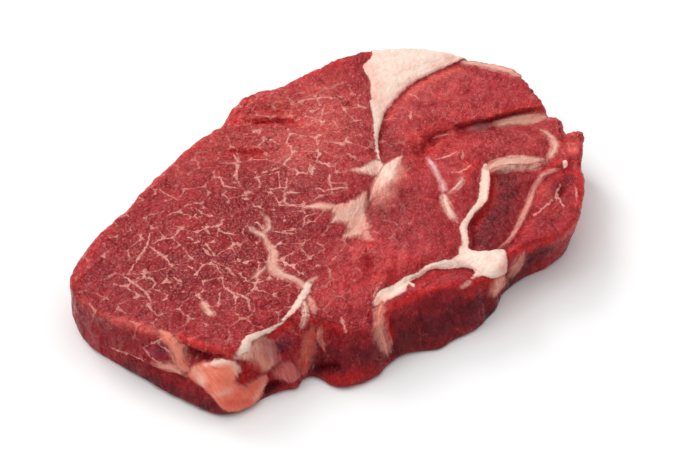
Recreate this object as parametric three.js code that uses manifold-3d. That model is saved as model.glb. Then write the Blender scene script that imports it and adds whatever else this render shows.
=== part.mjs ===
// A thick raw beef steak, cut across several muscles, lying flat.
// Millimetres, +Z up. X runs along the steak, and the origin is under the middle of its plan.
//
// The steak is one piece. A box whose faces are divided into a grid is wrapped onto it: the
// box's top becomes the cut face, its sides become the wall that joins the two cut faces, and
// its bottom is cut off flat where the steak rests.

import * as THREE from "three";
import { mergeVertices } from "three/addons/utils/BufferGeometryUtils.js";
import Module from "manifold-3d";

// Driving sizes.
const THICKNESS = 23;
const TOP_EDGE_RADIUS = 2.2;
const FOOT_RADIUS = 3.5;
const PRESSED_IN = 1; // how much the round foot loses where the table presses it flat

// The grid: cells along and across the cut face, and down the wall.
const CELLS_LONG = 76;
const CELLS_WIDE = 46;
const CELLS_DOWN = 8;

// The top edge in plan, anticlockwise. Each side starts at a corner of the steak.
const SIDES = [
  { name: "right", path: [
    [98.5, -28.5], [92.5, -25], [96.5, -19], [98.5, -12], // tip of the flap, and the notch behind it
    [100, -3], [104.5, 9], [102.5, 22], [96.5, 36]] }, // strip of fat
  { name: "back", path: [
    [87, 50.5], [78.5, 58.5], [67, 65.5], [51, 69.5], [36, 70.5], // fat corner
    [20, 75], [8, 74], [0, 70.5], [-16, 68.5], [-35, 65.5], // lifted hump
    [-52, 61], [-70, 56.5], [-86, 50.5]] },
  { name: "left", path: [
    [-97, 43.5], [-101, 32], [-99.5, 17], [-95, 3], [-89.5, -11]] },
  { name: "front", path: [
    [-84, -22], [-76, -25], [-66, -23.5], [-55, -25], // along the white seam
    [-48, -31], [-43, -40], [-34.5, -48.5], // sloping shoulder
    [-25, -47.5], [-14, -48], [-4, -52], // front lobe
    [5, -57.5], [14, -60], [24, -57.5], // fat patch
    [34, -58.5], [45, -63], [57, -61.5], [70, -53], [79, -45], [88, -36.5]] }, // thin flap
];

// How far the foot of the wall stands out beyond the top edge, near a place; negative is undercut.
const FLARES = [
  { name: "left wall", at: [-90, -12], reach: 18, out: 5 },
  { name: "corner", at: [-83, -23], reach: 9, out: 4 },
  { name: "front tissue", at: [-60, -25], reach: 14, out: 13 },
  { name: "shoulder", at: [-43, -41], reach: 11, out: 10 },
  { name: "front lobe", at: [-10, -50], reach: 14, out: 10 },
  { name: "fat patch", at: [5, -58], reach: 7, out: 2 },
  { name: "front flap", at: [48, -62], reach: 20, out: -6 },
  { name: "flap corner", at: [76, -48], reach: 14, out: -2 },
  { name: "flap tip", at: [96, -30], reach: 12, out: -3 },
  { name: "hump", at: [15, 75], reach: 18, out: -3 },
];

// Where the cut face lies lower (or, if negative, higher) than the thickness.
const SAGS = [
  { name: "shoulder", at: [-44, -43], reach: 14, drop: 5.5 },
  { name: "front lobe", at: [-10, -51], reach: 16, drop: 1.5 },
  { name: "front flap", at: [58, -60], reach: 24, drop: 3 },
  { name: "flap tip", at: [95, -30], reach: 16, drop: 3 },
  { name: "fold floor", at: [86, -12], reach: 12, drop: 1.6 },
  { name: "dark muscle", at: [34, -43], reach: 12, drop: 1.8 },
  { name: "dark muscle, far end", at: [53, -31], reach: 11, drop: 1.8 },
  { name: "dimple", at: [-15, -24], reach: 7, drop: 1.4 },
  { name: "hump", at: [16, 68], reach: 15, drop: -1.2 },
  { name: "right eye", at: [72, 20], reach: 20, drop: -0.8 },
];

// Seams and folds between the muscles, as lines in plan, and how deep each groove is.
const SEAMS = [
  { name: "cap seam", depth: 1.1,
    path: [[27, 11], [35, 19], [43, 25.5], [52, 32], [63, 35], [78, 35.5], [93, 31]] },
  { name: "right fold", depth: 2.8,
    path: [[44, 6], [54, 8], [64, 4], [75, -2], [86, -7], [96, -11]] },
  { name: "junction crease", depth: 1.3, path: [[27, 11], [17, 5], [8, 0], [0, -6], [-6, -9]] },
  { name: "long seam", depth: 0.9,
    path: [[-33, 16], [-34, 7], [-41, -2], [-41, -12], [-39, -18], [-48, -22], [-62, -25]] },
  { name: "inner seam", depth: 1.1, path: [[41, 0], [37, -11], [30, -19], [25, -28], [21, -34]] },
  { name: "wide seam", depth: 0.9,
    path: [[77, -33], [67, -28], [62, -21], [53, -18], [40, -29], [25, -36], [14, -45]] },
  { name: "flap seam", depth: 1.6,
    path: [[80, -40], [70, -38], [62, -38], [50, -45], [36, -51], [25, -55]] },
  { name: "lobe seam", depth: 2.2,
    path: [[-33, -54], [-32, -46], [-26, -41], [-16, -39.5], [-4, -41], [6, -46]] },
  { name: "lobe end", depth: 2.2, path: [[8, -48], [10, -56], [13, -66]] },
  { name: "hump fold", depth: 1.8, path: [[8, 68], [12, 63], [17, 58], [23, 52]] },
  { name: "small fold", depth: 1.1, path: [[-9, 58], [-4, 52], [1, 46]] },
];
const GROOVE_REACH = 2.8; // half the width of a groove
const SWELL = 1.1; // how far a muscle swells between its seams
const SWELL_REACH = 8; // how far from a seam it has swollen

// Lumps and hollows of the wall: a place in plan and its height, and how far it stands out.
const LUMPS = [
  { name: "corner fat", at: [-88, -25, 11], reach: 8, out: 2.5 },
  { name: "lower lip", at: [-99, -2, 4], reach: 13, out: 2 },
  { name: "lower lip, front end", at: [-93, -18, 4], reach: 9, out: 1.8 },
  { name: "corner notch", at: [-76, -30, 2], reach: 6, out: -2.5 },
  { name: "tissue fold", at: [-64, -36, 6], reach: 8, out: 1.8 },
  { name: "tissue hollow", at: [-72, -30, 12], reach: 7, out: -2 },
  { name: "lobe belly", at: [-10, -56, 11], reach: 12, out: 1.6 },
  { name: "flap hollow", at: [38, -58, 9], reach: 9, out: -2 },
];

// Slow waves that leave no stretch of surface truly flat: wavelength, heading in degrees, height.
const WAVES = [
  { length: 67, heading: 20, height: 0.4 },
  { length: 41, heading: 115, height: 0.3 },
  { length: 26, heading: 160, height: 0.2 },
  { length: 17, heading: 65, height: 0.12 },
];
const WAVE_CLIMB = 0.8; // how fast the waves shift with height
const WALL_UNEVENNESS = 2; // the wall has the same waves, this many times as high

const bell = (distance, reach) => Math.exp(-((distance / reach) ** 2));
const flat = ([x, y]) => new THREE.Vector3(x, y, 0);

function waves(x, y, z = 0) {
  return WAVES.reduce((sum, { length, heading, height }) => {
    const angle = THREE.MathUtils.degToRad(heading);
    const along = x * Math.cos(angle) + y * Math.sin(angle) + WAVE_CLIMB * z;
    return sum + height * Math.sin((2 * Math.PI * along) / length);
  }, 0);
}

// The closed curve of the top edge. Its outward normal is averaged over a short span, so that
// the wall doesn't fan out at the small notches.
const NORMAL_SPAN = 0.015;
const SAMPLES = 24; // for each stretch between two points of the curve
const stations = SIDES.flatMap((side) => side.path);
const rim = new THREE.CatmullRomCurve3(stations.map(flat), true, "centripetal");
rim.arcLengthDivisions = stations.length * SAMPLES;

function rimAt(turn) {
  const at = (t) => rim.getPointAt(((t % 1) + 1) % 1);
  const along = at(turn + NORMAL_SPAN).sub(at(turn - NORMAL_SPAN)).normalize();
  return { point: at(turn), outward: new THREE.Vector3(along.y, -along.x, 0) };
}

// The share of the way round at which each side starts, and 1 where the last one ends.
const corners = [];
let passed = 0;
for (const side of SIDES) {
  corners.push(rim.getLengths()[passed * SAMPLES] / rim.getLength());
  passed += side.path.length;
}
corners.push(1);

const seams = SEAMS.map(({ depth, path }) => {
  const curve = new THREE.CatmullRomCurve3(path.map(flat), false, "centripetal");
  const points = curve.getPoints(6 * path.length);
  return { depth, lines: points.slice(1).map((end, i) => new THREE.Line3(points[i], end)) };
});

// The depth of the groove at a place in plan, and the distance to the nearest seam.
function seamsAt(x, y) {
  const here = new THREE.Vector3(x, y, 0);
  const foot = new THREE.Vector3();
  let groove = 0;
  let nearest = Infinity;
  for (const { depth, lines } of seams) {
    for (const line of lines) {
      const distance = line.closestPointToPoint(here, true, foot).distanceTo(here);
      groove = Math.max(groove, depth * bell(distance, GROOVE_REACH));
      nearest = Math.min(nearest, distance);
    }
  }
  return { groove, nearest };
}

// What the features of a list add up to at a place in plan.
const sumAt = (list, amount, x, y) =>
  list.reduce((sum, f) => sum + f[amount] * bell(Math.hypot(x - f.at[0], y - f.at[1]), f.reach), 0);

// Height of the cut face at a place in plan.
function cutFace(x, y) {
  const { groove, nearest } = seamsAt(x, y);
  const swell = SWELL * (0.5 - bell(nearest, SWELL_REACH));
  return THICKNESS - sumAt(SAGS, "drop", x, y) + swell - groove + waves(x, y);
}

// A point of the wall: turn is the place round the rim, and down goes from 0 at the cut face
// to 1 under the foot. A quarter round leads into the wall and another one under it.
const ROUND_SHARE = 0.28; // the share of the wall's rows that each quarter round takes
const RELIEF_END = 0.9; // the wall's relief ends here, a little above the foot

function wallPoint(turn, down) {
  const { point, outward } = rimAt(turn);
  const edge = point.clone().addScaledVector(outward, -TOP_EDGE_RADIUS);
  const straight = THREE.MathUtils.clamp((down - ROUND_SHARE) / (1 - 2 * ROUND_SHARE), 0, 1);
  const shoulder = cutFace(edge.x, edge.y) - TOP_EDGE_RADIUS;
  let z = THREE.MathUtils.lerp(shoulder, FOOT_RADIUS - PRESSED_IN, straight);
  let out = sumAt(FLARES, "out", point.x, point.y) * straight;
  const angleAt = (rows) => Math.max(0, rows / ROUND_SHARE) * (Math.PI / 2);
  const above = angleAt(ROUND_SHARE - down);
  const below = angleAt(down - 1 + ROUND_SHARE);
  out -= TOP_EDGE_RADIUS * (1 - Math.cos(above)) + FOOT_RADIUS * (1 - Math.cos(below));
  z += TOP_EDGE_RADIUS * Math.sin(above) - FOOT_RADIUS * Math.sin(below);
  const place = point.clone().addScaledVector(outward, out).setZ(z);

  let relief = WALL_UNEVENNESS * waves(place.x, place.y, z) - seamsAt(place.x, place.y).groove;
  for (const lump of LUMPS) {
    relief += lump.out * bell(place.distanceTo(new THREE.Vector3(...lump.at)), lump.reach);
  }
  const strength = Math.sin(Math.PI * Math.min(down / RELIEF_END, 1));
  return place.addScaledVector(outward, strength * relief);
}

// How far round the rim a point of the box's side lies. u and v go from 0 to 1 over the box.
function turnOf(u, v) {
  const onSide = (side, share) => THREE.MathUtils.lerp(corners[side], corners[side + 1], share);
  if (u === 1) return onSide(0, v);
  if (v === 1) return onSide(1, 1 - u);
  if (u === 0) return onSide(2, 1 - v);
  return onSide(3, u);
}

// A point of the face that the four sides bound, blended between opposite sides.
function faceBetween(u, v, down) {
  const at = (a, b, weight) => wallPoint(turnOf(a, b), down).multiplyScalar(weight);
  const place = new THREE.Vector3();
  place.add(at(u, 0, 1 - v)).add(at(u, 1, v)).add(at(0, v, 1 - u)).add(at(1, v, u));
  place.sub(at(0, 0, (1 - u) * (1 - v))).sub(at(1, 0, u * (1 - v)));
  return place.sub(at(0, 1, (1 - u) * v)).sub(at(1, 1, u * v));
}

// A point of the box, from 0 to 1 each way, wrapped onto the steak.
function steakPoint(u, v, w) {
  if (u === 0 || u === 1 || v === 0 || v === 1) return wallPoint(turnOf(u, v), 1 - w);
  const place = faceBetween(u, v, 1 - w);
  return w === 1 ? place.setZ(cutFace(place.x, place.y)) : place.setZ(-PRESSED_IN);
}

// A cell of the box is two triangles, a b d and b c d. It is split along its shorter diagonal
// instead, so that grooves run straight.
function splitCellsWell(geometry) {
  const index = geometry.index;
  const positions = geometry.getAttribute("position");
  const corner = (i) => new THREE.Vector3().fromBufferAttribute(positions, i);
  for (let i = 0; i < index.count; i += 6) {
    const [a, b, c, d] = [0, 1, 4, 2].map((offset) => index.getX(i + offset));
    if (corner(a).distanceTo(corner(c)) < corner(b).distanceTo(corner(d))) {
      index.array.set([a, b, c, a, c, d], i);
    }
  }
}

function wrappedBox() {
  const box = new THREE.BoxGeometry(1, 1, 1, CELLS_LONG, CELLS_WIDE, CELLS_DOWN);
  box.translate(0.5, 0.5, 0.5);
  box.deleteAttribute("normal");
  box.deleteAttribute("uv");
  const merged = mergeVertices(box, 1e-4);
  const positions = merged.getAttribute("position");
  for (let i = 0; i < positions.count; i++) {
    const place = steakPoint(positions.getX(i), positions.getY(i), positions.getZ(i));
    positions.setXYZ(i, place.x, place.y, place.z);
  }
  splitCellsWell(merged);
  return merged;
}

const wasm = await Module();
wasm.setup();

function toSolid(geometry) {
  return new wasm.Manifold(new wasm.Mesh({
    numProp: 3,
    vertProperties: new Float32Array(geometry.getAttribute("position").array),
    triVerts: new Uint32Array(geometry.index.array),
  }));
}

function toGeometry(solid) {
  const mesh = solid.getMesh();
  const geometry = new THREE.BufferGeometry();
  geometry.setAttribute("position", new THREE.BufferAttribute(mesh.vertProperties, 3));
  geometry.setIndex(new THREE.BufferAttribute(mesh.triVerts, 1));
  return geometry;
}

// What lies below the resting face, cut off so that the underside is flat.
function belowTable() {
  const size = 400;
  const block = new THREE.BoxGeometry(size, size, size);
  block.translate(0, 0, -size / 2);
  block.deleteAttribute("normal");
  block.deleteAttribute("uv");
  return mergeVertices(block, 1e-4);
}

// The steak, with the middle of its plan over the origin.
function steakGeometry() {
  const geometry = toGeometry(toSolid(wrappedBox()).subtract(toSolid(belowTable())));
  geometry.computeBoundingBox();
  const middle = geometry.boundingBox.getCenter(new THREE.Vector3());
  geometry.translate(-middle.x, -middle.y, 0);
  geometry.computeVertexNormals();
  return geometry;
}

const meat = new THREE.MeshStandardMaterial({ color: "#a8403f", roughness: 0.4, metalness: 0 });

const steak = new THREE.Mesh(steakGeometry(), meat);
steak.name = "steak";

const group = new THREE.Group();
group.add(steak);

export default group;
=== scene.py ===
"""A thick raw beef steak lying flat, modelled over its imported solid, in a plain pale studio.

The steak is one piece. A block of its size is divided into a fine grid and wrapped onto the
same form as the solid. Fine relief is then pressed into it, and every point is told what tissue
it belongs to: lean muscle, fat, membrane or a thin vein of marbling. One material reads that.
"""

from __future__ import annotations

import logging
import math
from dataclasses import dataclass, field
from enum import Enum

import bpy
import numpy as np
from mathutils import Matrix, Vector


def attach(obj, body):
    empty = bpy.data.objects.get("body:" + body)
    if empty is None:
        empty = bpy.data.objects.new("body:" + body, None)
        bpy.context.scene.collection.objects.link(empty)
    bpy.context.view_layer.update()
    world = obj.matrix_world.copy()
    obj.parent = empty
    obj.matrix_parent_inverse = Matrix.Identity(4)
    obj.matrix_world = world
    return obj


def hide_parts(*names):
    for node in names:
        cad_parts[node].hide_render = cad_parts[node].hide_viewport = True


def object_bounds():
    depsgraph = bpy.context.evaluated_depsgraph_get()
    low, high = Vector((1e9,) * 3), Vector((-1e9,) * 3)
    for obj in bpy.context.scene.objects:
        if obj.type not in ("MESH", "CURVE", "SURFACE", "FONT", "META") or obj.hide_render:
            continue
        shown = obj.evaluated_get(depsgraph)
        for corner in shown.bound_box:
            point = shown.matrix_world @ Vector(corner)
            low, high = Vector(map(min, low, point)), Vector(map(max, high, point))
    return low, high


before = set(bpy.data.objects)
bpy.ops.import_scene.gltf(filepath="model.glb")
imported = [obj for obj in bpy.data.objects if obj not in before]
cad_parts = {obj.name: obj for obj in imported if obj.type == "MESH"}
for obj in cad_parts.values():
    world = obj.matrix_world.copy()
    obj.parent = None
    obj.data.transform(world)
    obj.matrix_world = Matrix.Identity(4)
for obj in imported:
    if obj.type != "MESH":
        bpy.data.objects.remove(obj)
CAD_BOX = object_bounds()

NODE = "steak"
BODY = "root"
MM = 0.001
RNG_SEED = 7
SMALLEST_GAP = 1e-8
SMALLEST_SQUARE = 1e-12
HAIRSBREADTH = 0.001 * MM

Path = tuple[tuple[float, ...], ...]

log = logging.getLogger("steak")


# ---------------------------------------------------------------------------------------------
# Colours
# ---------------------------------------------------------------------------------------------


def linear(tint: tuple[int, int, int]) -> tuple[float, float, float]:
    """Turn a colour as it looks on a screen, 0 to 255, into light, by the sRGB curve.

    Args:
        tint: red, green and blue as seen.

    Returns:
        The same colour in linear light, 0 to 1.
    """
    shares = [part / 255 for part in tint]
    return tuple(s / 12.92 if s <= 0.04045 else ((s + 0.055) / 1.055) ** 2.4 for s in shares)


@dataclass(frozen=True)
class Look:
    """How a tissue looks: its colour, how well it covers the muscle, and how soft its edge is."""

    tint: tuple[int, int, int]
    cover: float = 1.0
    soft: float = 0.35


class Tissue(Enum):
    """What the steak is made of, with the look of each."""

    LEAN = Look((161, 34, 41))
    BRIGHT_LEAN = Look((204, 46, 44))
    PALE_LEAN = Look((210, 84, 78))
    DUSTY_LEAN = Look((198, 66, 68))
    DUSKY_LEAN = Look((148, 32, 42))
    DEEP_LEAN = Look((110, 20, 26))
    # A dark maroon: the walls' own darker red, with painted shade where walls face away from the light, near
    # their feet and in clefts.
    MAROON_SHADE = Look((102, 26, 33))
    # Painted shade, a near-black red, in the deepest clefts and at the foot of the flap's wall.
    DARKEST_SHADE = Look((66, 14, 18))
    # Brighter red along the cut rims and lips: partly the fresh cut's own red, partly painted light where the
    # thin edge catches the light and lets it through.
    CUT_EDGE_RIM_LIGHT = Look((208, 44, 44))
    RED_WALL = Look((172, 24, 24))
    PLUM = Look((122, 50, 66))
    CREAM_FAT = Look((243, 215, 199), 1.0, 0.2)
    ROSY_FAT = Look((238, 194, 178), 0.88, 0.9)
    PINK_FAT = Look((226, 154, 141), 0.8, 0.8)
    CORAL_FAT = Look((212, 78, 60), 0.95, 0.5)
    SALMON_FAT = Look((240, 138, 112), 0.95, 0.5)
    PEACH_FAT = Look((232, 140, 120), 0.85, 1.2)
    ORANGE_FAT = Look((236, 122, 100), 0.95, 0.8)
    DUSKY_FAT = Look((228, 172, 154), 0.85, 0.8)
    LILAC_FAT = Look((226, 164, 168), 0.9, 0.7)
    TAN_SKIN = Look((218, 146, 128), 0.65, 1.3)
    LILAC_SKIN = Look((158, 92, 94), 0.6, 0.9)
    RED_SKIN = Look((200, 78, 66), 0.6, 1.5)
    PINK_SKIN = Look((206, 116, 110), 0.65, 1.5)


# ---------------------------------------------------------------------------------------------
# Sizes, in millimetres. X runs along the steak and Y across it.
# ---------------------------------------------------------------------------------------------


@dataclass(frozen=True)
class Place:
    """A push, dip or lump that is strongest at a place and fades away from it."""

    at: tuple[float, ...]
    reach: float
    amount: float


@dataclass(frozen=True)
class Line:
    """A groove or crack along a path, or a vein, whose depth is half its width."""

    path: Path
    depth: float
    reach: float = 2.8


@dataclass(frozen=True)
class Ledge:
    """A lip along a path: the ground to the path's left stands up and the right side dips."""

    path: Path
    rise: float
    fall: float
    reach: float = 3.0


@dataclass(frozen=True)
class Wave:
    """A slow swell of the whole surface: its length, its heading in degrees and its height."""

    length: float
    heading: float
    height: float


@dataclass(frozen=True)
class Band:
    """A seam of fat or skin: its path, and half its width from one end to the other."""

    path: Path
    half_width: tuple[float, ...]
    tissue: Tissue
    proud: float = 0.3


@dataclass(frozen=True)
class Area:
    """A patch of fat or skin inside a closed outline, with the heading of its strands."""

    outline: Path
    tissue: Tissue
    proud: float = 0.3
    heading: float = 45


@dataclass(frozen=True)
class Tone:
    """A soft change of colour along a path."""

    path: Path
    reach: float
    tissue: Tissue
    strength: float = 1.0


# The top edge in plan, anticlockwise from the tip of the thin flap.
RIGHT_RIM: Path = (
    (98.5, -28.5), (92.5, -25), (96.5, -19), (98.5, -12), (100, -3), (104.5, 9), (102.5, 22), (96.5, 36),
)
BACK_RIM: Path = (
    (87, 50.5), (78.5, 58.5), (67, 65.5), (51, 69.5), (36, 70.5), (20, 75), (8, 74), (0, 70.5),
    (-16, 68.5), (-35, 65.5), (-52, 61), (-70, 56.5), (-86, 50.5),
)
LEFT_RIM: Path = ((-97, 43.5), (-101, 32), (-99.5, 17), (-95, 3), (-89.5, -11))
FRONT_RIM: Path = (
    (-84, -22), (-76, -25), (-66, -23.5), (-55, -25), (-48, -31), (-43, -40), (-34.5, -48.5),
    (-25, -47.5), (-14, -48), (-4, -52), (5, -57.5), (14, -60), (24, -57.5), (34, -58.5), (45, -63),
    (57, -61.5), (70, -53), (79, -45), (88, -36.5),
)
RIM_SIDES: tuple[Path, ...] = (RIGHT_RIM, BACK_RIM, LEFT_RIM, FRONT_RIM)

# How far the foot of the wall reaches out past the rim.
FLARES: tuple[Place, ...] = (
    Place((-90, -12), 18, 5), Place((-83, -23), 9, 4), Place((-60, -25), 14, 13),
    Place((-43, -41), 11, 10), Place((-10, -50), 14, 10), Place((5, -58), 7, 2),
    Place((48, -62), 20, -6), Place((76, -48), 14, -2), Place((96, -30), 12, -3),
    Place((15, 75), 18, -3),
)

# How far the cut face sinks.
SAGS: tuple[Place, ...] = (
    Place((-44, -43), 14, 5.5), Place((-10, -51), 16, 1.5), Place((58, -60), 24, 3),
    Place((95, -30), 16, 3), Place((86, -12), 12, 1.6), Place((34, -43), 12, 1.8),
    Place((53, -31), 11, 1.8), Place((-15, -24), 7, 1.4), Place((16, 68), 15, -1.2),
    Place((72, 20), 20, -0.8),
)

# The seams between the muscles.
GROOVES: tuple[Line, ...] = (
    Line(((27, 11), (35, 19), (43, 25.5), (52, 32), (63, 35), (78, 35.5), (93, 31)), 1.1),
    Line(((44, 6), (54, 8), (64, 4), (75, -2), (86, -7), (96, -11)), 2.8),
    Line(((27, 11), (17, 5), (8, 0), (0, -6), (-6, -9)), 1.3),
    Line(((-33, 16), (-34, 7), (-41, -2), (-41, -12), (-39, -18), (-48, -22), (-62, -25)), 0.9),
    Line(((41, 0), (37, -11), (30, -19), (25, -28), (21, -34)), 1.1),
    Line(((77, -33), (67, -28), (62, -21), (53, -18), (40, -29), (25, -36), (14, -45)), 0.9),
    Line(((80, -40), (70, -38), (62, -38), (50, -45), (36, -51), (25, -55)), 1.6),
    Line(((-33, -54), (-32, -46), (-26, -41), (-16, -39.5), (-4, -41), (6, -46)), 2.2),
    Line(((8, -48), (10, -56), (13, -66)), 2.2),
    Line(((8, 68), (12, 63), (17, 58), (23, 52)), 1.8),
    Line(((-9, 58), (-4, 52), (1, 46)), 1.1),
)

# Swellings and hollows of the wall, each at a place in space.
LUMPS: tuple[Place, ...] = (
    Place((-88, -25, 11), 8, 2.5), Place((-99, -2, 4), 13, 2), Place((-93, -18, 4), 9, 1.8),
    Place((-76, -30, 2), 6, -2.5), Place((-64, -36, 6), 8, 1.8), Place((-72, -30, 12), 7, -2),
    Place((-10, -56, 11), 12, 1.6), Place((38, -58, 9), 9, -2),
)
WAVES: tuple[Wave, ...] = (
    Wave(67, 20, 0.4), Wave(41, 115, 0.3), Wave(26, 160, 0.2), Wave(17, 65, 0.12),
)


# ---------------------------------------------------------------------------------------------
# What the cut face and the wall show. The muscles run through the steak at a slant, so a place
# on the wall is drawn at the place on the cut face that its fibres lead to.
# ---------------------------------------------------------------------------------------------

FAT_AREAS: dict[str, Area] = {
    "fat_corner": Area(
        ((44, 30), (51, 39), (55, 44), (59, 48), (64, 57), (71, 59), (76, 66), (80, 80), (98, 80),
        (110, 62), (112, 42), (98, 33), (86, 34), (70, 36), (56, 33)), Tissue.CREAM_FAT, 0.5, 50,
    ),
    "front_patch": Area(
        ((-1, -43), (4, -44), (10, -45), (15, -42), (16, -47), (20, -52), (24, -55), (21, -59),
        (15, -64), (11, -63), (8, -59), (4, -57), (8, -56), (8, -52), (3, -48)),
        Tissue.CREAM_FAT, 0.6, -50,
    ),
    "star_right": Area(
        ((36, 8), (27, 9), (21, 7), (16, 4), (10, 0), (18, 0), (24, 1), (30, 5)),
        Tissue.ROSY_FAT, 0.4, 30,
    ),
    "star_left": Area(
        ((12, 3), (5, 3), (0, 5), (-4, 7), (-6, 2), (-10, 0), (-6, -3), (-8, -7), (-12, -9), (-6, -13),
        (-1, -11), (3, -5)), Tissue.DUSKY_FAT, 0.3, 32,
    ),
    "star_limb": Area(
        ((17, 16), (20, 14), (26, 14), (28, 12), (26, 8), (21, 7), (19, 10)), Tissue.ROSY_FAT, 0.3, 60,
    ),
    "corner_lump": Area(
        ((-100, -21), (-95, -19), (-88, -23), (-84, -27), (-85, -31), (-91, -35), (-91, -39),
        (-82, -40), (-84, -43), (-95, -48), (-104, -45), (-102, -34)), Tissue.ORANGE_FAT, 1.5, 70,
    ),
    "hanging_skin": Area(
        ((-83, -26), (-75, -25), (-68, -25), (-70, -33), (-75, -39), (-82, -39), (-80, -32)),
        Tissue.TAN_SKIN, 0.8, 50,
    ),
    "pink_bundle": Area(
        ((-79, -42), (-73, -41), (-72, -45), (-75, -50), (-79, -49)), Tissue.PINK_SKIN, 0.9, 60,
    ),
    "lobe_end": Area(((11, -63), (14, -64), (12, -69), (3, -70)), Tissue.PEACH_FAT, 0.3, 50),
}

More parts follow.
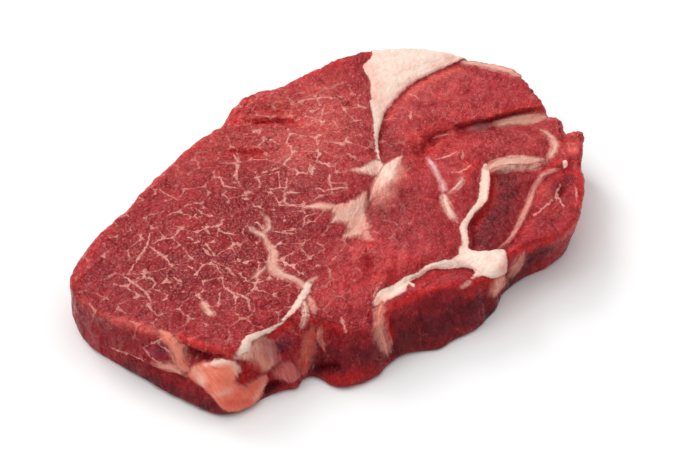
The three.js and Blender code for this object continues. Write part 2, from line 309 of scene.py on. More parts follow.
FAT_BANDS: dict[str, Band] = {
    "cap_seam": Band(
        ((27, 10), (29, 14), (34, 20), (40, 26), (46, 31), (52, 37)), (0.5, 0.6, 0.7, 1.1, 2.0, 3.4),
        Tissue.CREAM_FAT,
    ),
    "right_edge": Band(
        ((94, 31), (98, 24), (101, 17), (103, 9)), (1.6, 1.5, 1.7, 1.2), Tissue.DUSKY_FAT,
    ),
    "star_blob": Band(((-2, 4), (-6, 9), (-11, 13)), (2.2, 1.7, 1.2), Tissue.DUSKY_FAT),
    "star_tail": Band(((-4, -11), (-6, -15), (-4, -19)), (2.4, 1.2, 0.5), Tissue.PINK_FAT, 0.1),
    "river": Band(
        ((-32, 21), (-33, 17), (-32, 13), (-34, 8), (-36, 3), (-41, -2), (-42, -6), (-40, -14),
        (-41, -19)), (0.7, 0.9, 1.3, 0.8, 1.5, 2.3, 2.2, 1.2, 2.0), Tissue.DUSKY_FAT, 0.3,
    ),
    "river_fork": Band(
        ((-32, 14), (-28, 14), (-25, 18), (-24, 23)), (1.2, 1.3, 0.7, 0.4), Tissue.DUSKY_FAT, 0.2,
    ),
    "river_tongue": Band(((-42, 0), (-48, -1), (-52, -1)), (1.4, 0.8, 0.4), Tissue.DUSKY_FAT, 0.1),
    "river_spur": Band(((-40, -17), (-36, -17), (-32, -17)), (1.8, 0.9, 0.3), Tissue.PINK_FAT, 0.2),
    "white_seam": Band(
        ((-81, -26), (-77, -25), (-72, -23), (-67, -24), (-61, -25), (-54, -24), (-47, -22),
        (-39, -18)), (0.9, 1.6, 1.6, 1.4, 0.7, 0.8, 1.6, 1.5), Tissue.CREAM_FAT, 0.5,
    ),
    "white_drip": Band(
        ((-46, -23), (-50, -28), (-54, -31), (-58, -33)), (1.5, 1.0, 0.7, 0.3), Tissue.ROSY_FAT, 0.5,
    ),
    "pink_drip": Band(((-43, -22), (-46, -28), (-48, -31)), (1.3, 1.0, 0.5), Tissue.PINK_FAT),
    "front_band": Band(
        ((-28, -42), (-23, -41), (-17, -42), (-12, -41), (-7, -42), (-2, -42), (4, -45)),
        (2.2, 2.9, 2.5, 1.7, 1.0, 1.3, 2.2), Tissue.CREAM_FAT, 0.6,
    ),
    "band_tongue": Band(((-13, -41), (-13, -45)), (1.0, 0.8), Tissue.CREAM_FAT, 0.5),
    "band_tail": Band(
        ((-27, -43), (-31, -46), (-34, -49), (-38, -53), (-42, -59), (-46, -65)),
        (2.0, 1.6, 1.5, 2.0, 1.9, 1.2), Tissue.TAN_SKIN, 0.5,
    ),
    "wall_skin": Band(
        ((14, -68), (19, -66), (24, -64), (29, -61)), (1.0, 1.8, 1.6, 0.8), Tissue.TAN_SKIN, 0.4,
    ),
    "torn_streak": Band(((-59, -47), (-56, -41), (-51, -36)), (0.4, 0.8, 0.9), Tissue.PEACH_FAT, 0.4),
    "patch_tip": Band(((6, -57), (0, -58), (-3, -58)), (0.9, 0.6, 0.3), Tissue.ROSY_FAT),
    "fork_stem": Band(
        ((15, -44), (19, -40), (23, -36), (30, -33), (38, -31), (45, -26), (51, -21), (54, -18)),
        (1.5, 1.3, 1.3, 1.2, 1.9, 1.9, 1.6, 1.2), Tissue.CREAM_FAT, 0.5,
    ),
    "fork_arm": Band(
        ((53, -20), (59, -21), (64, -24), (68, -28), (73, -32)), (2.0, 2.5, 2.7, 2.3, 1.0),
        Tissue.DUSKY_FAT, 0.3,
    ),
    "fork_lower": Band(
        ((52, -22), (58, -24), (62, -27), (66, -31), (71, -33)), (0.9, 0.7, 0.7, 0.7, 0.8),
        Tissue.ROSY_FAT, 0.5,
    ),
    "far_arm": Band(
        ((72, -33), (77, -31), (82, -28), (84, -24), (85, -18)), (1.0, 1.3, 1.3, 1.2, 0.9),
        Tissue.DUSKY_FAT, 0.1,
    ),
    "flap_line": Band(
        ((73, -39), (67, -37), (62, -38), (52, -43), (44, -47), (35, -51), (28, -53), (22, -53)),
        (0.7, 1.2, 0.7, 0.9, 1.1, 0.8, 0.5, 0.3), Tissue.PINK_FAT, 0.3,
    ),
    "flap_knot": Band(((75, -40), (77, -38)), (0.8, 1.0), Tissue.CREAM_FAT, 0.4),
    "inner_seam": Band(
        ((42, 1), (40, -4), (37, -10), (34, -15), (31, -18)), (1.0, 1.3, 0.9, 1.2, 1.1),
        Tissue.LILAC_FAT, 0.3,
    ),
    "inner_tail": Band(
        ((31, -18), (28, -22), (25, -27), (23, -33)), (1.4, 1.7, 1.5, 0.7), Tissue.ROSY_FAT, 0.3,
    ),
    "inner_arm": Band(
        ((44, -16), (40, -18), (36, -19), (31, -19)), (0.7, 0.9, 0.8, 0.7), Tissue.ROSY_FAT,
    ),
    "fold_skin": Band(((66, 1), (70, -1), (74, -3)), (1.4, 2.0, 1.6), Tissue.LILAC_SKIN, 0.0),
    "fold_fat": Band(
        ((74, -3), (79, -6), (85, -10), (92, -14)), (1.2, 1.9, 2.8, 2.4), Tissue.DUSKY_FAT, 0.0,
    ),
    "pale_blob": Band(((-70, 4), (-72, 0), (-73, -4)), (0.4, 1.0, 1.9), Tissue.DUSKY_FAT, 0.1),
    "wall_river": Band(
        ((-91, 2), (-92, -3), (-93, -7), (-96, -12), (-99, -17), (-98, -21)),
        (1.6, 2.5, 2.0, 2.2, 2.4, 1.8), Tissue.PEACH_FAT, 0.5,
    ),
    "wall_arm": Band(
        ((-106, -8), (-104, -11), (-102, -15), (-102, -21)), (0.9, 1.6, 2.4, 1.4), Tissue.PEACH_FAT, 0.5,
    ),
    # The lump's top edge: partly its own cream fat, partly a painted highlight where the top catches the
    # light.
    "lump_cream_and_highlight": Band(((-92, -22), (-88, -24), (-84, -27)), (0.8, 1.7, 1.0), Tissue.CREAM_FAT, 1.5),
    "lump_streak": Band(((-91, -33), (-87, -32), (-84, -30)), (0.6, 0.9, 0.5), Tissue.ROSY_FAT, 1.2),
    "red_strand": Band(
        ((-53, -35), (-60, -40), (-67, -45), (-74, -50)), (1.3, 1.8, 2.2, 1.4), Tissue.RED_SKIN, 0.8,
    ),
}

# The few veins of the marbling that stand out. The material draws the finer net around them.
MAIN_VEINS: tuple[Line, ...] = (
    Line(((-82, 33), (-82, 27), (-82, 20), (-84, 15)), 0.45),
    Line(((-82, 28), (-77, 27), (-76, 22), (-80, 20)), 0.35),
    Line(((-80, 32), (-73, 35), (-66, 38), (-60, 43)), 0.35),
    Line(((-65, 37), (-65, 30), (-66, 24)), 0.4),
    Line(((-42, 58), (-41, 50)), 0.3),
    Line(((-39, 42), (-39, 35), (-37, 32)), 0.35),
    Line(((-44, 32), (-45, 27)), 0.5),
    Line(((-21, 48), (-23, 43), (-21, 38)), 0.5),
    Line(((-8, 55), (-10, 50), (-17, 43), (-19, 38)), 0.45),
    Line(((-3, 30), (-10, 24), (-14, 19), (-9, 12)), 0.5),
    Line(((-10, 25), (-6, 20)), 0.5),
    Line(((-28, 12), (-25, 7), (-22, 5)), 0.45),
    Line(((-52, 23), (-53, 18)), 0.5),
    Line(((-54, 15), (-53, 9), (-54, 4)), 0.4),
    Line(((-60, -2), (-59, -8), (-62, -13)), 0.4),
    Line(((-18, 6), (-14, 9), (-10, 8)), 0.3),
    Line(((0, 18), (1, 15), (6, 12), (9, 9)), 0.5),
    Line(((4, 24), (8, 29)), 0.9),
    Line(((12, 28), (13, 22)), 0.8),
    Line(((6, 17), (9, 20)), 0.6),
    Line(((30, 59), (36, 57), (43, 50)), 0.5),
    Line(((30, 46), (37, 51)), 0.3),
    Line(((65, 33), (65, 27)), 0.4),
    Line(((54, 21), (57, 24)), 0.5),
    Line(((52, 7), (56, 6), (58, 4)), 0.35),
    Line(((43, -2), (47, -4), (52, -5)), 0.45),
    Line(((42, -12), (46, -14), (51, -14)), 0.5),
    Line(((51, -9), (54, -6)), 0.7),
    Line(((66, -45), (61, -48), (57, -55)), 0.4),
    Line(((61, -48), (53, -50), (46, -50)), 0.35),
    Line(((69, -50), (63, -56)), 0.35),
    Line(((-27, -39), (-24, -37), (-20, -36)), 0.35),
    Line(((-47, -45), (-44, -41), (-42, -38)), 0.6),
    Line(((-70, 19), (-69, 15)), 0.5),
    Line(((-62, 20), (-62, 17)), 0.5),
    Line(((-52, 31), (-51, 29)), 0.6),
    Line(((-23, 33), (-22, 31)), 0.6),
    Line(((-8, 38), (-6, 38)), 0.6),
    Line(((-4, 37), (-2, 36)), 0.6),
    Line(((-14, 29), (-13, 27)), 0.5),
    Line(((-41, 17), (-42, 14)), 0.6),
    Line(((-40, 29), (-41, 25), (-39, 20)), 0.5),
    Line(((-100, 30), (-101, 26), (-104, 24)), 0.35),
    Line(((-112, 9), (-109, 0), (-107, -5)), 0.35),
    Line(((-102, 0), (-97, -1), (-92, -2)), 0.45),
    Line(((-102, 0), (-104, -5), (-103, -10)), 0.4),
    Line(((-97, -1), (-97, -8), (-99, -13)), 0.35),
)

# Edges of muscles that lie over their neighbours.
LEDGES: tuple[Ledge, ...] = (
    Ledge(((62, 6), (66, 4), (71, 2), (76, -1), (82, -3), (88, -6), (95, -10)), 1.3, 1.8, 4.0),
    Ledge(((43, 5), (49, 7), (55, 7), (61, 5)), 0.6, 0.9),
    Ledge(((27, 10), (31, 15), (36, 21), (43, 26), (50, 31), (60, 34), (70, 36), (82, 35), (94, 31)),
          0.3, 0.5),
    Ledge(((16, -46), (21, -42), (26, -37), (33, -35), (40, -33), (47, -28), (52, -24), (60, -26),
           (66, -31), (72, -34)), 0.5, 1.8, 4.0),
    Ledge(((76, -41), (68, -38), (62, -38), (54, -42), (46, -46), (37, -50), (28, -53), (20, -51)),
          1.4, 0.8, 4.0),
    Ledge(((4, 68), (9, 65), (13, 61), (17, 58), (20, 54), (23, 50)), 1.2, 0.7, 3.5),
    Ledge(((-8, 57), (-4, 53), (-1, 49), (2, 46)), 1.0, 0.7),
    Ledge(((2, -6), (6, -2), (11, 2), (16, 5)), 0.6, 0.5, 2.5),
    Ledge(((-89, -3), (-88, -8), (-86, -14), (-84, -19), (-81, -24)), 0.4, 2.4, 3.5),
    Ledge(((-110, 0), (-108, -8), (-105, -16), (-102, -22), (-100, -30), (-100, -38)), 0.6, 0.8, 2.5),
    Ledge(((-80, -28), (-72, -26), (-64, -27), (-56, -26), (-49, -25)), 0.3, 1.2, 4.0),
)

# Narrow clefts, into which painted shade darkens the colour as well.
CRACKS: tuple[Line, ...] = (
    Line(((28, 10), (32, 15), (37, 21), (43, 25), (49, 28)), 0.7, 0.6),
    Line(((16, 4), (11, 1), (6, -3), (2, -6)), 1.2, 0.7),
    Line(((62, 5), (66, 3), (71, 1), (76, -2), (82, -4), (88, -7), (95, -11)), 1.0, 0.8),
    Line(((42, 3), (46, 6), (52, 8), (60, 6)), 0.9, 0.6),
    Line(((63, 25), (67, 21), (73, 17)), 0.4, 0.6),
    Line(((78, 16), (86, 19)), 0.4, 0.7),
    Line(((-8, 57), (-4, 52), (0, 47)), 0.4, 0.6),
    Line(((4, 67), (10, 63), (16, 58), (20, 53), (23, 49)), 0.5, 0.6),
    Line(((2, 66), (6, 61), (11, 56)), 0.5, 0.7),
    Line(((27, 67), (31, 61)), 0.5, 0.8),
    Line(((42, 46), (45, 44)), 0.9, 1.2),
    Line(((-10, -20), (-14, -23), (-17, -27)), 1.1, 1.4),
    Line(((-90, -6), (-91, -13), (-90, -19), (-84, -24)), 1.1, 1.4),
    Line(((-110, -1), (-108, -9), (-105, -17), (-102, -23)), 0.8, 0.8),
    Line(((-74, -37), (-68, -36), (-62, -36)), 0.7, 1.4),
    Line(((-97, -27), (-93, -33), (-93, -40)), 0.6, 1.2),
    Line(((-90, -25), (-88, -30)), 0.6, 0.9),
    Line(((-90, -46), (-84, -46), (-81, -49)), 1.6, 1.4),
    Line(((-69, -51), (-64, -53), (-61, -57)), 1.2, 1.8),
    Line(((-29, -50), (-34, -55), (-39, -61)), 0.8, 0.8),
    Line(((16, -47), (21, -43), (27, -37), (37, -35)), 0.6, 0.7),
    Line(((30, -16), (27, -20), (24, -26)), 0.5, 0.7),
    Line(((78, -40), (83, -33), (89, -26)), 0.7, 0.8),
    Line(((60, -50), (67, -47)), 0.7, 0.9),
    Line(((73, -42), (66, -46), (58, -50), (50, -53)), 0.6, 0.9),
)

# How the colour of the muscle changes. A later tone lies over the earlier ones. Some tones are painted light
# and shade: bright red rims, a sheen, and dark walls, feet and clefts.
TONES: tuple[Tone, ...] = (
    # Pinker, paler flesh over the right part: partly its own tone, partly a painted sheen of the moist
    # surface.
    Tone(((30, -8), (58, 8), (86, 0)), 26, Tissue.DUSTY_LEAN, 0.55),
    Tone(((-14, -20), (4, -30)), 12, Tissue.DUSTY_LEAN, 0.6),
    Tone(((40, -58), (70, -48), (88, -34)), 9, Tissue.DUSTY_LEAN, 0.15),
    Tone(((-36, -30), (-28, -38)), 8, Tissue.DUSTY_LEAN, 0.7),
    Tone(((4, -24), (14, -30)), 7, Tissue.DUSKY_LEAN, 0.5),
    Tone(((12, 40), (30, 50)), 16, Tissue.PALE_LEAN, 0.7),
    # Paler along the back rim: partly its own tone, partly a painted sheen.
    Tone(((45, 62), (10, 68), (-25, 60)), 9, Tissue.PALE_LEAN, 0.4),
    Tone(((75, -20), (88, -12)), 9, Tissue.PALE_LEAN, 0.25),
    Tone(((-78, 24), (-44, 12), (-14, 24)), 24, Tissue.DEEP_LEAN, 0.34),
    Tone(((-92, 32), (-88, 10)), 9, Tissue.DUSKY_LEAN, 0.5),
    Tone(((-68, 5), (-60, -12)), 9, Tissue.DUSKY_LEAN, 0.3),
    Tone(((-20, -8), (-18, 6)), 8, Tissue.DEEP_LEAN, 0.15),
    Tone(((60, 28), (82, 27)), 8, Tissue.PALE_LEAN, 0.3),
    Tone(((41, 20), (36, 13)), 5, Tissue.DEEP_LEAN, 0.5),
    Tone(((45, 11), (60, 9), (70, 5)), 4, Tissue.BRIGHT_LEAN, 0.5),
    Tone(((62, 0), (72, -8), (82, -14)), 6, Tissue.DUSKY_LEAN, 0.5),
    Tone(((40, 2), (58, -3)), 6, Tissue.BRIGHT_LEAN, 0.4),
    Tone(((6, -9), (15, -13), (22, -8)), 6, Tissue.DEEP_LEAN, 0.5),
    Tone(((11, -3), (20, 0), (30, 4)), 3.4, Tissue.TAN_SKIN, 0.6),
    Tone(((-30, -25), (-20, -32), (-8, -34)), 6, Tissue.BRIGHT_LEAN, 0.35),
    Tone(((-12, -19), (-6, -17)), 3, Tissue.CUT_EDGE_RIM_LIGHT, 0.5),
    Tone(((22, -47), (32, -42), (45, -37), (55, -29)), 6, Tissue.DEEP_LEAN, 1.0),
    Tone(((52, -24), (42, -32), (28, -37)), 1.3, Tissue.RED_WALL, 0.9),
    Tone(((70, -36), (75, -36)), 1.8, Tissue.CUT_EDGE_RIM_LIGHT, 0.9),
    Tone(((-97, 43), (-70, 56), (-35, 65), (0, 70)), 2.6, Tissue.CUT_EDGE_RIM_LIGHT, 0.7),
    Tone(((2, 69), (20, 74), (36, 70), (62, 67)), 3.2, Tissue.CUT_EDGE_RIM_LIGHT, 0.75),
    Tone(((-101, 32), (-100, 20), (-98, 12), (-94, 4)), 1.6, Tissue.PALE_LEAN, 0.7),
    Tone(((-98, 15), (-95, 9), (-92, 3)), 2.6, Tissue.PALE_LEAN, 0.8),
    Tone(((5, 67), (13, 61), (22, 51)), 2.4, Tissue.CUT_EDGE_RIM_LIGHT, 0.9),
    Tone(((-8, 57), (1, 47)), 2.2, Tissue.CUT_EDGE_RIM_LIGHT, 0.8),
    Tone(((76, 1), (86, -3), (95, -7)), 1.6, Tissue.CUT_EDGE_RIM_LIGHT, 0.8),
    Tone(((72, 60), (76, 58)), 2.6, Tissue.CUT_EDGE_RIM_LIGHT, 0.8),
    Tone(((75, -43), (56, -43), (34, -53)), 1.8, Tissue.CUT_EDGE_RIM_LIGHT, 0.5),
    Tone(((64, -50), (72, -50)), 2.0, Tissue.CUT_EDGE_RIM_LIGHT, 0.6),
    # The walls at the back and the right, which run on from the rim as if they were folded flat.
    Tone(((-100, 52), (-60, 72), (-10, 84), (30, 88), (66, 80)), 10, Tissue.DUSKY_LEAN, 0.75),
    Tone(((-60, 78), (0, 90), (40, 90)), 7, Tissue.DEEP_LEAN, 0.5),
    Tone(((116, 30), (118, 10), (114, -12), (106, -34)), 9, Tissue.DUSKY_LEAN, 0.75),
    # The left wall.
    Tone(((-110, 30), (-110, 14), (-108, 0)), 9, Tissue.DUSKY_LEAN, 0.45),
    Tone(((-101, -3), (-98, -6)), 3.0, Tissue.PLUM, 0.7),
    # Painted shade in the cleft beside the wall's pale seam.
    Tone(((-91, -9), (-92, -14), (-90, -19)), 2.2, Tissue.MAROON_SHADE, 0.9),
    Tone(((-88, -5), (-86, -14), (-82, -24)), 1.8, Tissue.CUT_EDGE_RIM_LIGHT, 0.8),
    # A paler band on the lean side of the fat corner: partly its own paler tone, partly painted light that
    # lifts the shade of the groove there.
    Tone(((48, 27), (60, 31), (74, 33), (90, 29)), 1.8, Tissue.PALE_LEAN, 0.9),
    Tone(((9, -64), (0, -72)), 1.4, Tissue.CUT_EDGE_RIM_LIGHT, 0.9),
    Tone(((66, -46), (58, -53), (44, -56)), 4.5, Tissue.DUSKY_LEAN, 0.7),
    Tone(((88, -30), (84, -36)), 3.0, Tissue.DUSTY_LEAN, 0.8),
    Tone(((75, -45), (71, -52), (62, -58)), 1.6, Tissue.CUT_EDGE_RIM_LIGHT, 0.8),
    # Painted shade towards the foot of the left wall.
    Tone(((-116, -6), (-113, -16), (-110, -28), (-107, -42)), 5.5, Tissue.MAROON_SHADE, 0.85),
    # The torn front between the corner and the shoulder.
    Tone(((-90, -37), (-84, -35)), 2.0, Tissue.RED_WALL, 1.0),
    # Painted shade in the cleft under the fat lump.
    Tone(((-89, -47), (-82, -47)), 2.4, Tissue.DARKEST_SHADE, 0.9),
    Tone(((-66, -28), (-58, -27)), 2.2, Tissue.CUT_EDGE_RIM_LIGHT, 0.8),
    Tone(((-72, -34), (-65, -33)), 3.2, Tissue.PLUM, 1.0),
    # Painted shade on the torn front's wall.
    Tone(((-62, -48), (-54, -53), (-50, -60)), 8, Tissue.MAROON_SHADE, 0.85),
    # Painted shade in a cleft of the torn front.
    Tone(((-69, -52), (-63, -56)), 3.2, Tissue.DARKEST_SHADE, 0.8),
    Tone(((-50, -37), (-46, -44)), 1.6, Tissue.CUT_EDGE_RIM_LIGHT, 0.5),
    Tone(((-69, -59), (-62, -64), (-54, -65)), 1.8, Tissue.RED_WALL, 0.6),
    # The front lobe.
    # Painted shade on the lobe's wall, which faces away from the light.
    Tone(((-36, -62), (-22, -65), (-4, -71)), 13, Tissue.MAROON_SHADE, 1.0),
    Tone(((-27, -47), (-16, -49), (-6, -51), (0, -57), (9, -62)), 1.8, Tissue.CUT_EDGE_RIM_LIGHT, 0.95),
    Tone(((-30, -49), (-39, -60)), 1.2, Tissue.CUT_EDGE_RIM_LIGHT, 0.8),
    Tone(((-10, -45), (2, -50)), 2.8, Tissue.BRIGHT_LEAN, 0.5),
    Tone(((44, -17), (51, -14)), 2.6, Tissue.CUT_EDGE_RIM_LIGHT, 0.6),
    Tone(((84, -34), (92, -28)), 3.0, Tissue.PALE_LEAN, 0.7),
    Tone(((60, -45), (54, -54)), 4.0, Tissue.PALE_LEAN, 0.4),
    Tone(((60, -48), (72, -45)), 2.6, Tissue.DEEP_LEAN, 0.6),
    # The wall of the thin flap.
    # Painted shade at the foot of the flap's wall.
    Tone(((13, -70), (24, -67), (36, -66)), 3.4, Tissue.DARKEST_SHADE, 0.75),
    Tone(((22, -58), (30, -60), (40, -64)), 2.0, Tissue.CUT_EDGE_RIM_LIGHT, 0.8),
    Tone(((-2, -62), (8, -63)), 2.6, Tissue.RED_WALL, 0.8),
    Tone(((-8, -47), (2, -52)), 2.6, Tissue.DUSKY_LEAN, 0.6),
    Tone(((46, -66), (60, -63), (70, -55)), 1.8, Tissue.CUT_EDGE_RIM_LIGHT, 0.9),
    Tone(((74, -51), (90, -37)), 1.6, Tissue.CUT_EDGE_RIM_LIGHT, 0.5),
)

# How the colour of the fat changes along it.
FAT_TONES: tuple[Tone, ...] = (
    Tone(((-94, -24), (-88, -29)), 3.0, Tissue.SALMON_FAT, 0.9),
    Tone(((-97, -30), (-99, -38)), 1.6, Tissue.SALMON_FAT, 0.7),
    Tone(((-92, -40), (-85, -41)), 2.4, Tissue.RED_SKIN, 0.6),
    Tone(((-96, -22), (-99, -28)), 1.8, Tissue.ROSY_FAT, 0.7),
    Tone(((-101, -40), (-96, -45), (-88, -43)), 2.0, Tissue.CORAL_FAT, 0.5),
    Tone(((-86, -41), (-83, -42)), 2.0, Tissue.PINK_SKIN, 0.7),
    Tone(((-87, -31), (-84, -28)), 1.6, Tissue.ROSY_FAT, 0.7),
    Tone(((-70, -30), (-73, -38)), 3.4, Tissue.LILAC_SKIN, 0.9),
    Tone(((-82, -30), (-82, -37)), 2.4, Tissue.RED_SKIN, 0.6),
    Tone(((-82, -28), (-74, -27)), 2.2, Tissue.ROSY_FAT, 0.6),
    Tone(((-60, -40), (-66, -45)), 1.4, Tissue.SALMON_FAT, 0.7),
    Tone(((-92, 0), (-93, -6)), 2.4, Tissue.SALMON_FAT, 0.6),
    Tone(((6, 1), (0, -1)), 2.2, Tissue.ROSY_FAT, 0.6),
    Tone(((30, 7), (24, 5)), 2.6, Tissue.CREAM_FAT, 0.7),
    Tone(((17, 2), (12, 1)), 2.2, Tissue.PINK_FAT, 0.6),
    Tone(((64, 56), (59, 48), (53, 39)), 4.5, Tissue.PINK_FAT, 0.45),
    Tone(((48, 30), (58, 34), (72, 37)), 2.0, Tissue.PINK_FAT, 0.5),
    Tone(((-104, -11), (-101, -19)), 2.4, Tissue.DUSKY_FAT, 0.6),
    Tone(((84, 35), (92, 36)), 3.0, Tissue.PINK_FAT, 0.5),
    Tone(((20, -61), (13, -64), (6, -68)), 2.4, Tissue.PINK_FAT, 0.8),
    Tone(((-27, -43), (-33, -48)), 3.0, Tissue.SALMON_FAT, 0.4),
    Tone(((-100, -35), (-95, -36)), 1.2, Tissue.ROSY_FAT, 0.5),
    Tone(((-94, -46), (-86, -43)), 1.0, Tissue.ROSY_FAT, 0.5),
)

# Where the marbling is dense.
MARBLED: tuple[Place, ...] = (
    Place((-60, 72), 26, 0.8), Place((5, 84), 24, 0.8),
    Place((-55, 25), 36, 1.0), Place((-15, 20), 22, 0.6), Place((5, 40), 24, 1.0), Place((-82, 14), 24, 0.45),
    Place((32, 42), 20, 1.3), Place((-45, -5), 24, 1.0), Place((62, 18), 18, 0.25),
    Place((80, -10), 16, 0.25), Place((4, -16), 14, 0.4),
)

# Where the fibres lie along the cut.
STRANDED: tuple[Place, ...] = (
    Place((6, 61), 15, 0.9), Place((-16, 56), 12, 0.6), Place((28, 64), 12, 0.8), Place((38, 12), 7, 0.5),
    Place((52, 2), 8, 0.4), Place((64, 20), 15, 0.3), Place((78, -8), 12, 0.3), Place((22, -14), 13, 0.3),
)

# Where the wall is torn into folds that run up and down it.
TORN: tuple[Place, ...] = (
    Place((-72, -35), 12, 1.0), Place((-56, -42), 13, 1.0), Place((-40, -52), 9, 0.6),
)

# Where the cut face droops in soft folds that run downhill.
DRAPED: tuple[Place, ...] = (
    Place((-12, -33), 11, 1.0), Place((10, -30), 10, 0.6), Place((-38, -34), 9, 0.7),
)

# Where the rim is ragged and flaky.
RAGGED: tuple[Place, ...] = (
    Place((100, 4), 16, 1.0), Place((93, -26), 9, 0.8), Place((-62, -38), 14, 0.8), Place((-92, -24), 9, 0.5),
)


# ---------------------------------------------------------------------------------------------
# Geometry helpers. Places are arrays with a row for each point.
# ---------------------------------------------------------------------------------------------


def bell(distance: np.ndarray, reach: float) -> np.ndarray:
    """1 at no distance, fading smoothly to 0 past the reach."""
    return np.exp(-((distance / reach) ** 2))


def smooth_step(values: np.ndarray, low: float, high: float) -> np.ndarray:
    """0 below low, 1 above high, and smooth between them."""
    share = np.clip((values - low) / (high - low), 0, 1)
    return share * share * (3 - 2 * share)


def through(points: np.ndarray, closed: bool, turns: np.ndarray) -> np.ndarray:
    """Read a smooth curve that passes through its points without overshooting.

    Args:
        points: the points, in order.
        closed: whether the curve runs on from the last point to the first.
        turns: where to read it, from 0 to 1.

    Returns:
        A place for each turn.
    """
    count = len(points)
    spans = count if closed else count - 1
    if not closed:
        points = np.vstack([2 * points[0] - points[1], points, 2 * points[-1] - points[-2]])
    step = np.clip(np.floor(turns * spans).astype(int), 0, spans - 1)
    rest = (turns * spans - step)[:, None]
    first = step - 1 if closed else step
    before, start, end, after = (points[(first + i) % len(points)] for i in range(4))
    gaps = [
        np.maximum(np.linalg.norm(b - a, axis=1, keepdims=True), SMALLEST_GAP) ** 0.5
        for a, b in ((before, start), (start, end), (end, after))
    ]
    leave = (start - before) / gaps[0] - (end - before) / (gaps[0] + gaps[1]) + (end - start) / gaps[1]
    arrive = (end - start) / gaps[1] - (after - start) / (gaps[1] + gaps[2]) + (after - end) / gaps[2]
    leave, arrive = leave * gaps[1], arrive * gaps[1]
    square = -3 * start + 3 * end - 2 * leave - arrive
    cube = 2 * start - 2 * end + leave + arrive
    return start + leave * rest + square * rest**2 + cube * rest**3


def drawn(path: Path, closed: bool = False, per_span: int = 6) -> np.ndarray:
    """The short straight steps of the smooth curve through a path."""
    points = np.array(path, float)
    steps = per_span * (len(points) if closed else len(points) - 1)
    return through(points, closed, np.linspace(0, 1, steps + 1))


def nearest(line: np.ndarray, places: np.ndarray) -> tuple[np.ndarray, np.ndarray]:
    """Find the nearest point of a line to each place.

    Args:
        line: the line's points.
        places: where to measure from.

    Returns:
        The way from each place to its nearest point, and how far along the line that is, 0 to 1.
    """
    best = np.full(len(places), np.inf)
    way = np.zeros((len(places), 2))
    along = np.zeros(len(places))
    steps = len(line) - 1
    for i in range(steps):
        start, run = line[i], line[i + 1] - line[i]
        share = np.clip(((places - start) @ run) / max(run @ run, SMALLEST_SQUARE), 0, 1)
        to = start + share[:, None] * run - places
        square = (to * to).sum(axis=1)
        closer = square < best
        best = np.where(closer, square, best)
        way[closer] = to[closer]
        along = np.where(closer, (i + share) / steps, along)
    return way, along


def near_box(line: np.ndarray, places: np.ndarray, margin: float) -> np.ndarray:
    """The indices of the places that lie in a line's box, or within a margin of it."""
    low, high = line.min(axis=0) - margin, line.max(axis=0) + margin
    return np.nonzero(((places >= low) & (places <= high)).all(axis=1))[0]


def inside(outline: np.ndarray, places: np.ndarray) -> np.ndarray:
    """Whether each place lies inside a closed outline."""
    hit = np.zeros(len(places), bool)
    x, y = places[:, 0], places[:, 1]
    for (ax, ay), (bx, by) in zip(outline[:-1], outline[1:]):
        if ay == by:
            continue
        spans = (ay > y) != (by > y)
        hit ^= spans & (x < (bx - ax) * (y - ay) / (by - ay) + ax)
    return hit


def read_rows(items: bpy.types.bpy_prop_collection, name: str) -> np.ndarray:
    """Read a property of three numbers from each of a mesh's items, with a row for each."""
    values = np.zeros(len(items) * 3)
    items.foreach_get(name, values)
    return values.reshape(-1, 3)


class Noise:
    """Seeded gradient noise in space, about -1 to 1."""

    SIZE = 256
    SPREAD = 1.6

    def __init__(self, seed: int) -> None:
        """Draw the lattice's directions.

        Args:
            seed: which noise it is.
        """
        draw = np.random.default_rng(seed)
        self.order = draw.permutation(self.SIZE)
        slopes = draw.normal(size=(self.SIZE, 3))
        self.slopes = slopes / np.linalg.norm(slopes, axis=1, keepdims=True)

    def at(self, places: np.ndarray) -> np.ndarray:
        """Read the noise.

        Args:
            places: points, in units of the noise's grain.

        Returns:
            The noise at each point.
        """
        cell = np.floor(places).astype(int)
        rest = places - cell
        ease = rest**3 * (rest * (rest * 6 - 15) + 10)
        total = np.zeros(len(places))
        for corner in np.ndindex(2, 2, 2):
            step = np.array(corner)
            x, y, z = (cell + step).T % self.SIZE
            slot = self.order[(self.order[(self.order[x] + y) % self.SIZE] + z) % self.SIZE]
            push = (self.slopes[slot] * (rest - step)).sum(axis=1)
            total += push * np.where(step, ease, 1 - ease).prod(axis=1)
        return total * self.SPREAD


# ---------------------------------------------------------------------------------------------
# The steak's form
# ---------------------------------------------------------------------------------------------


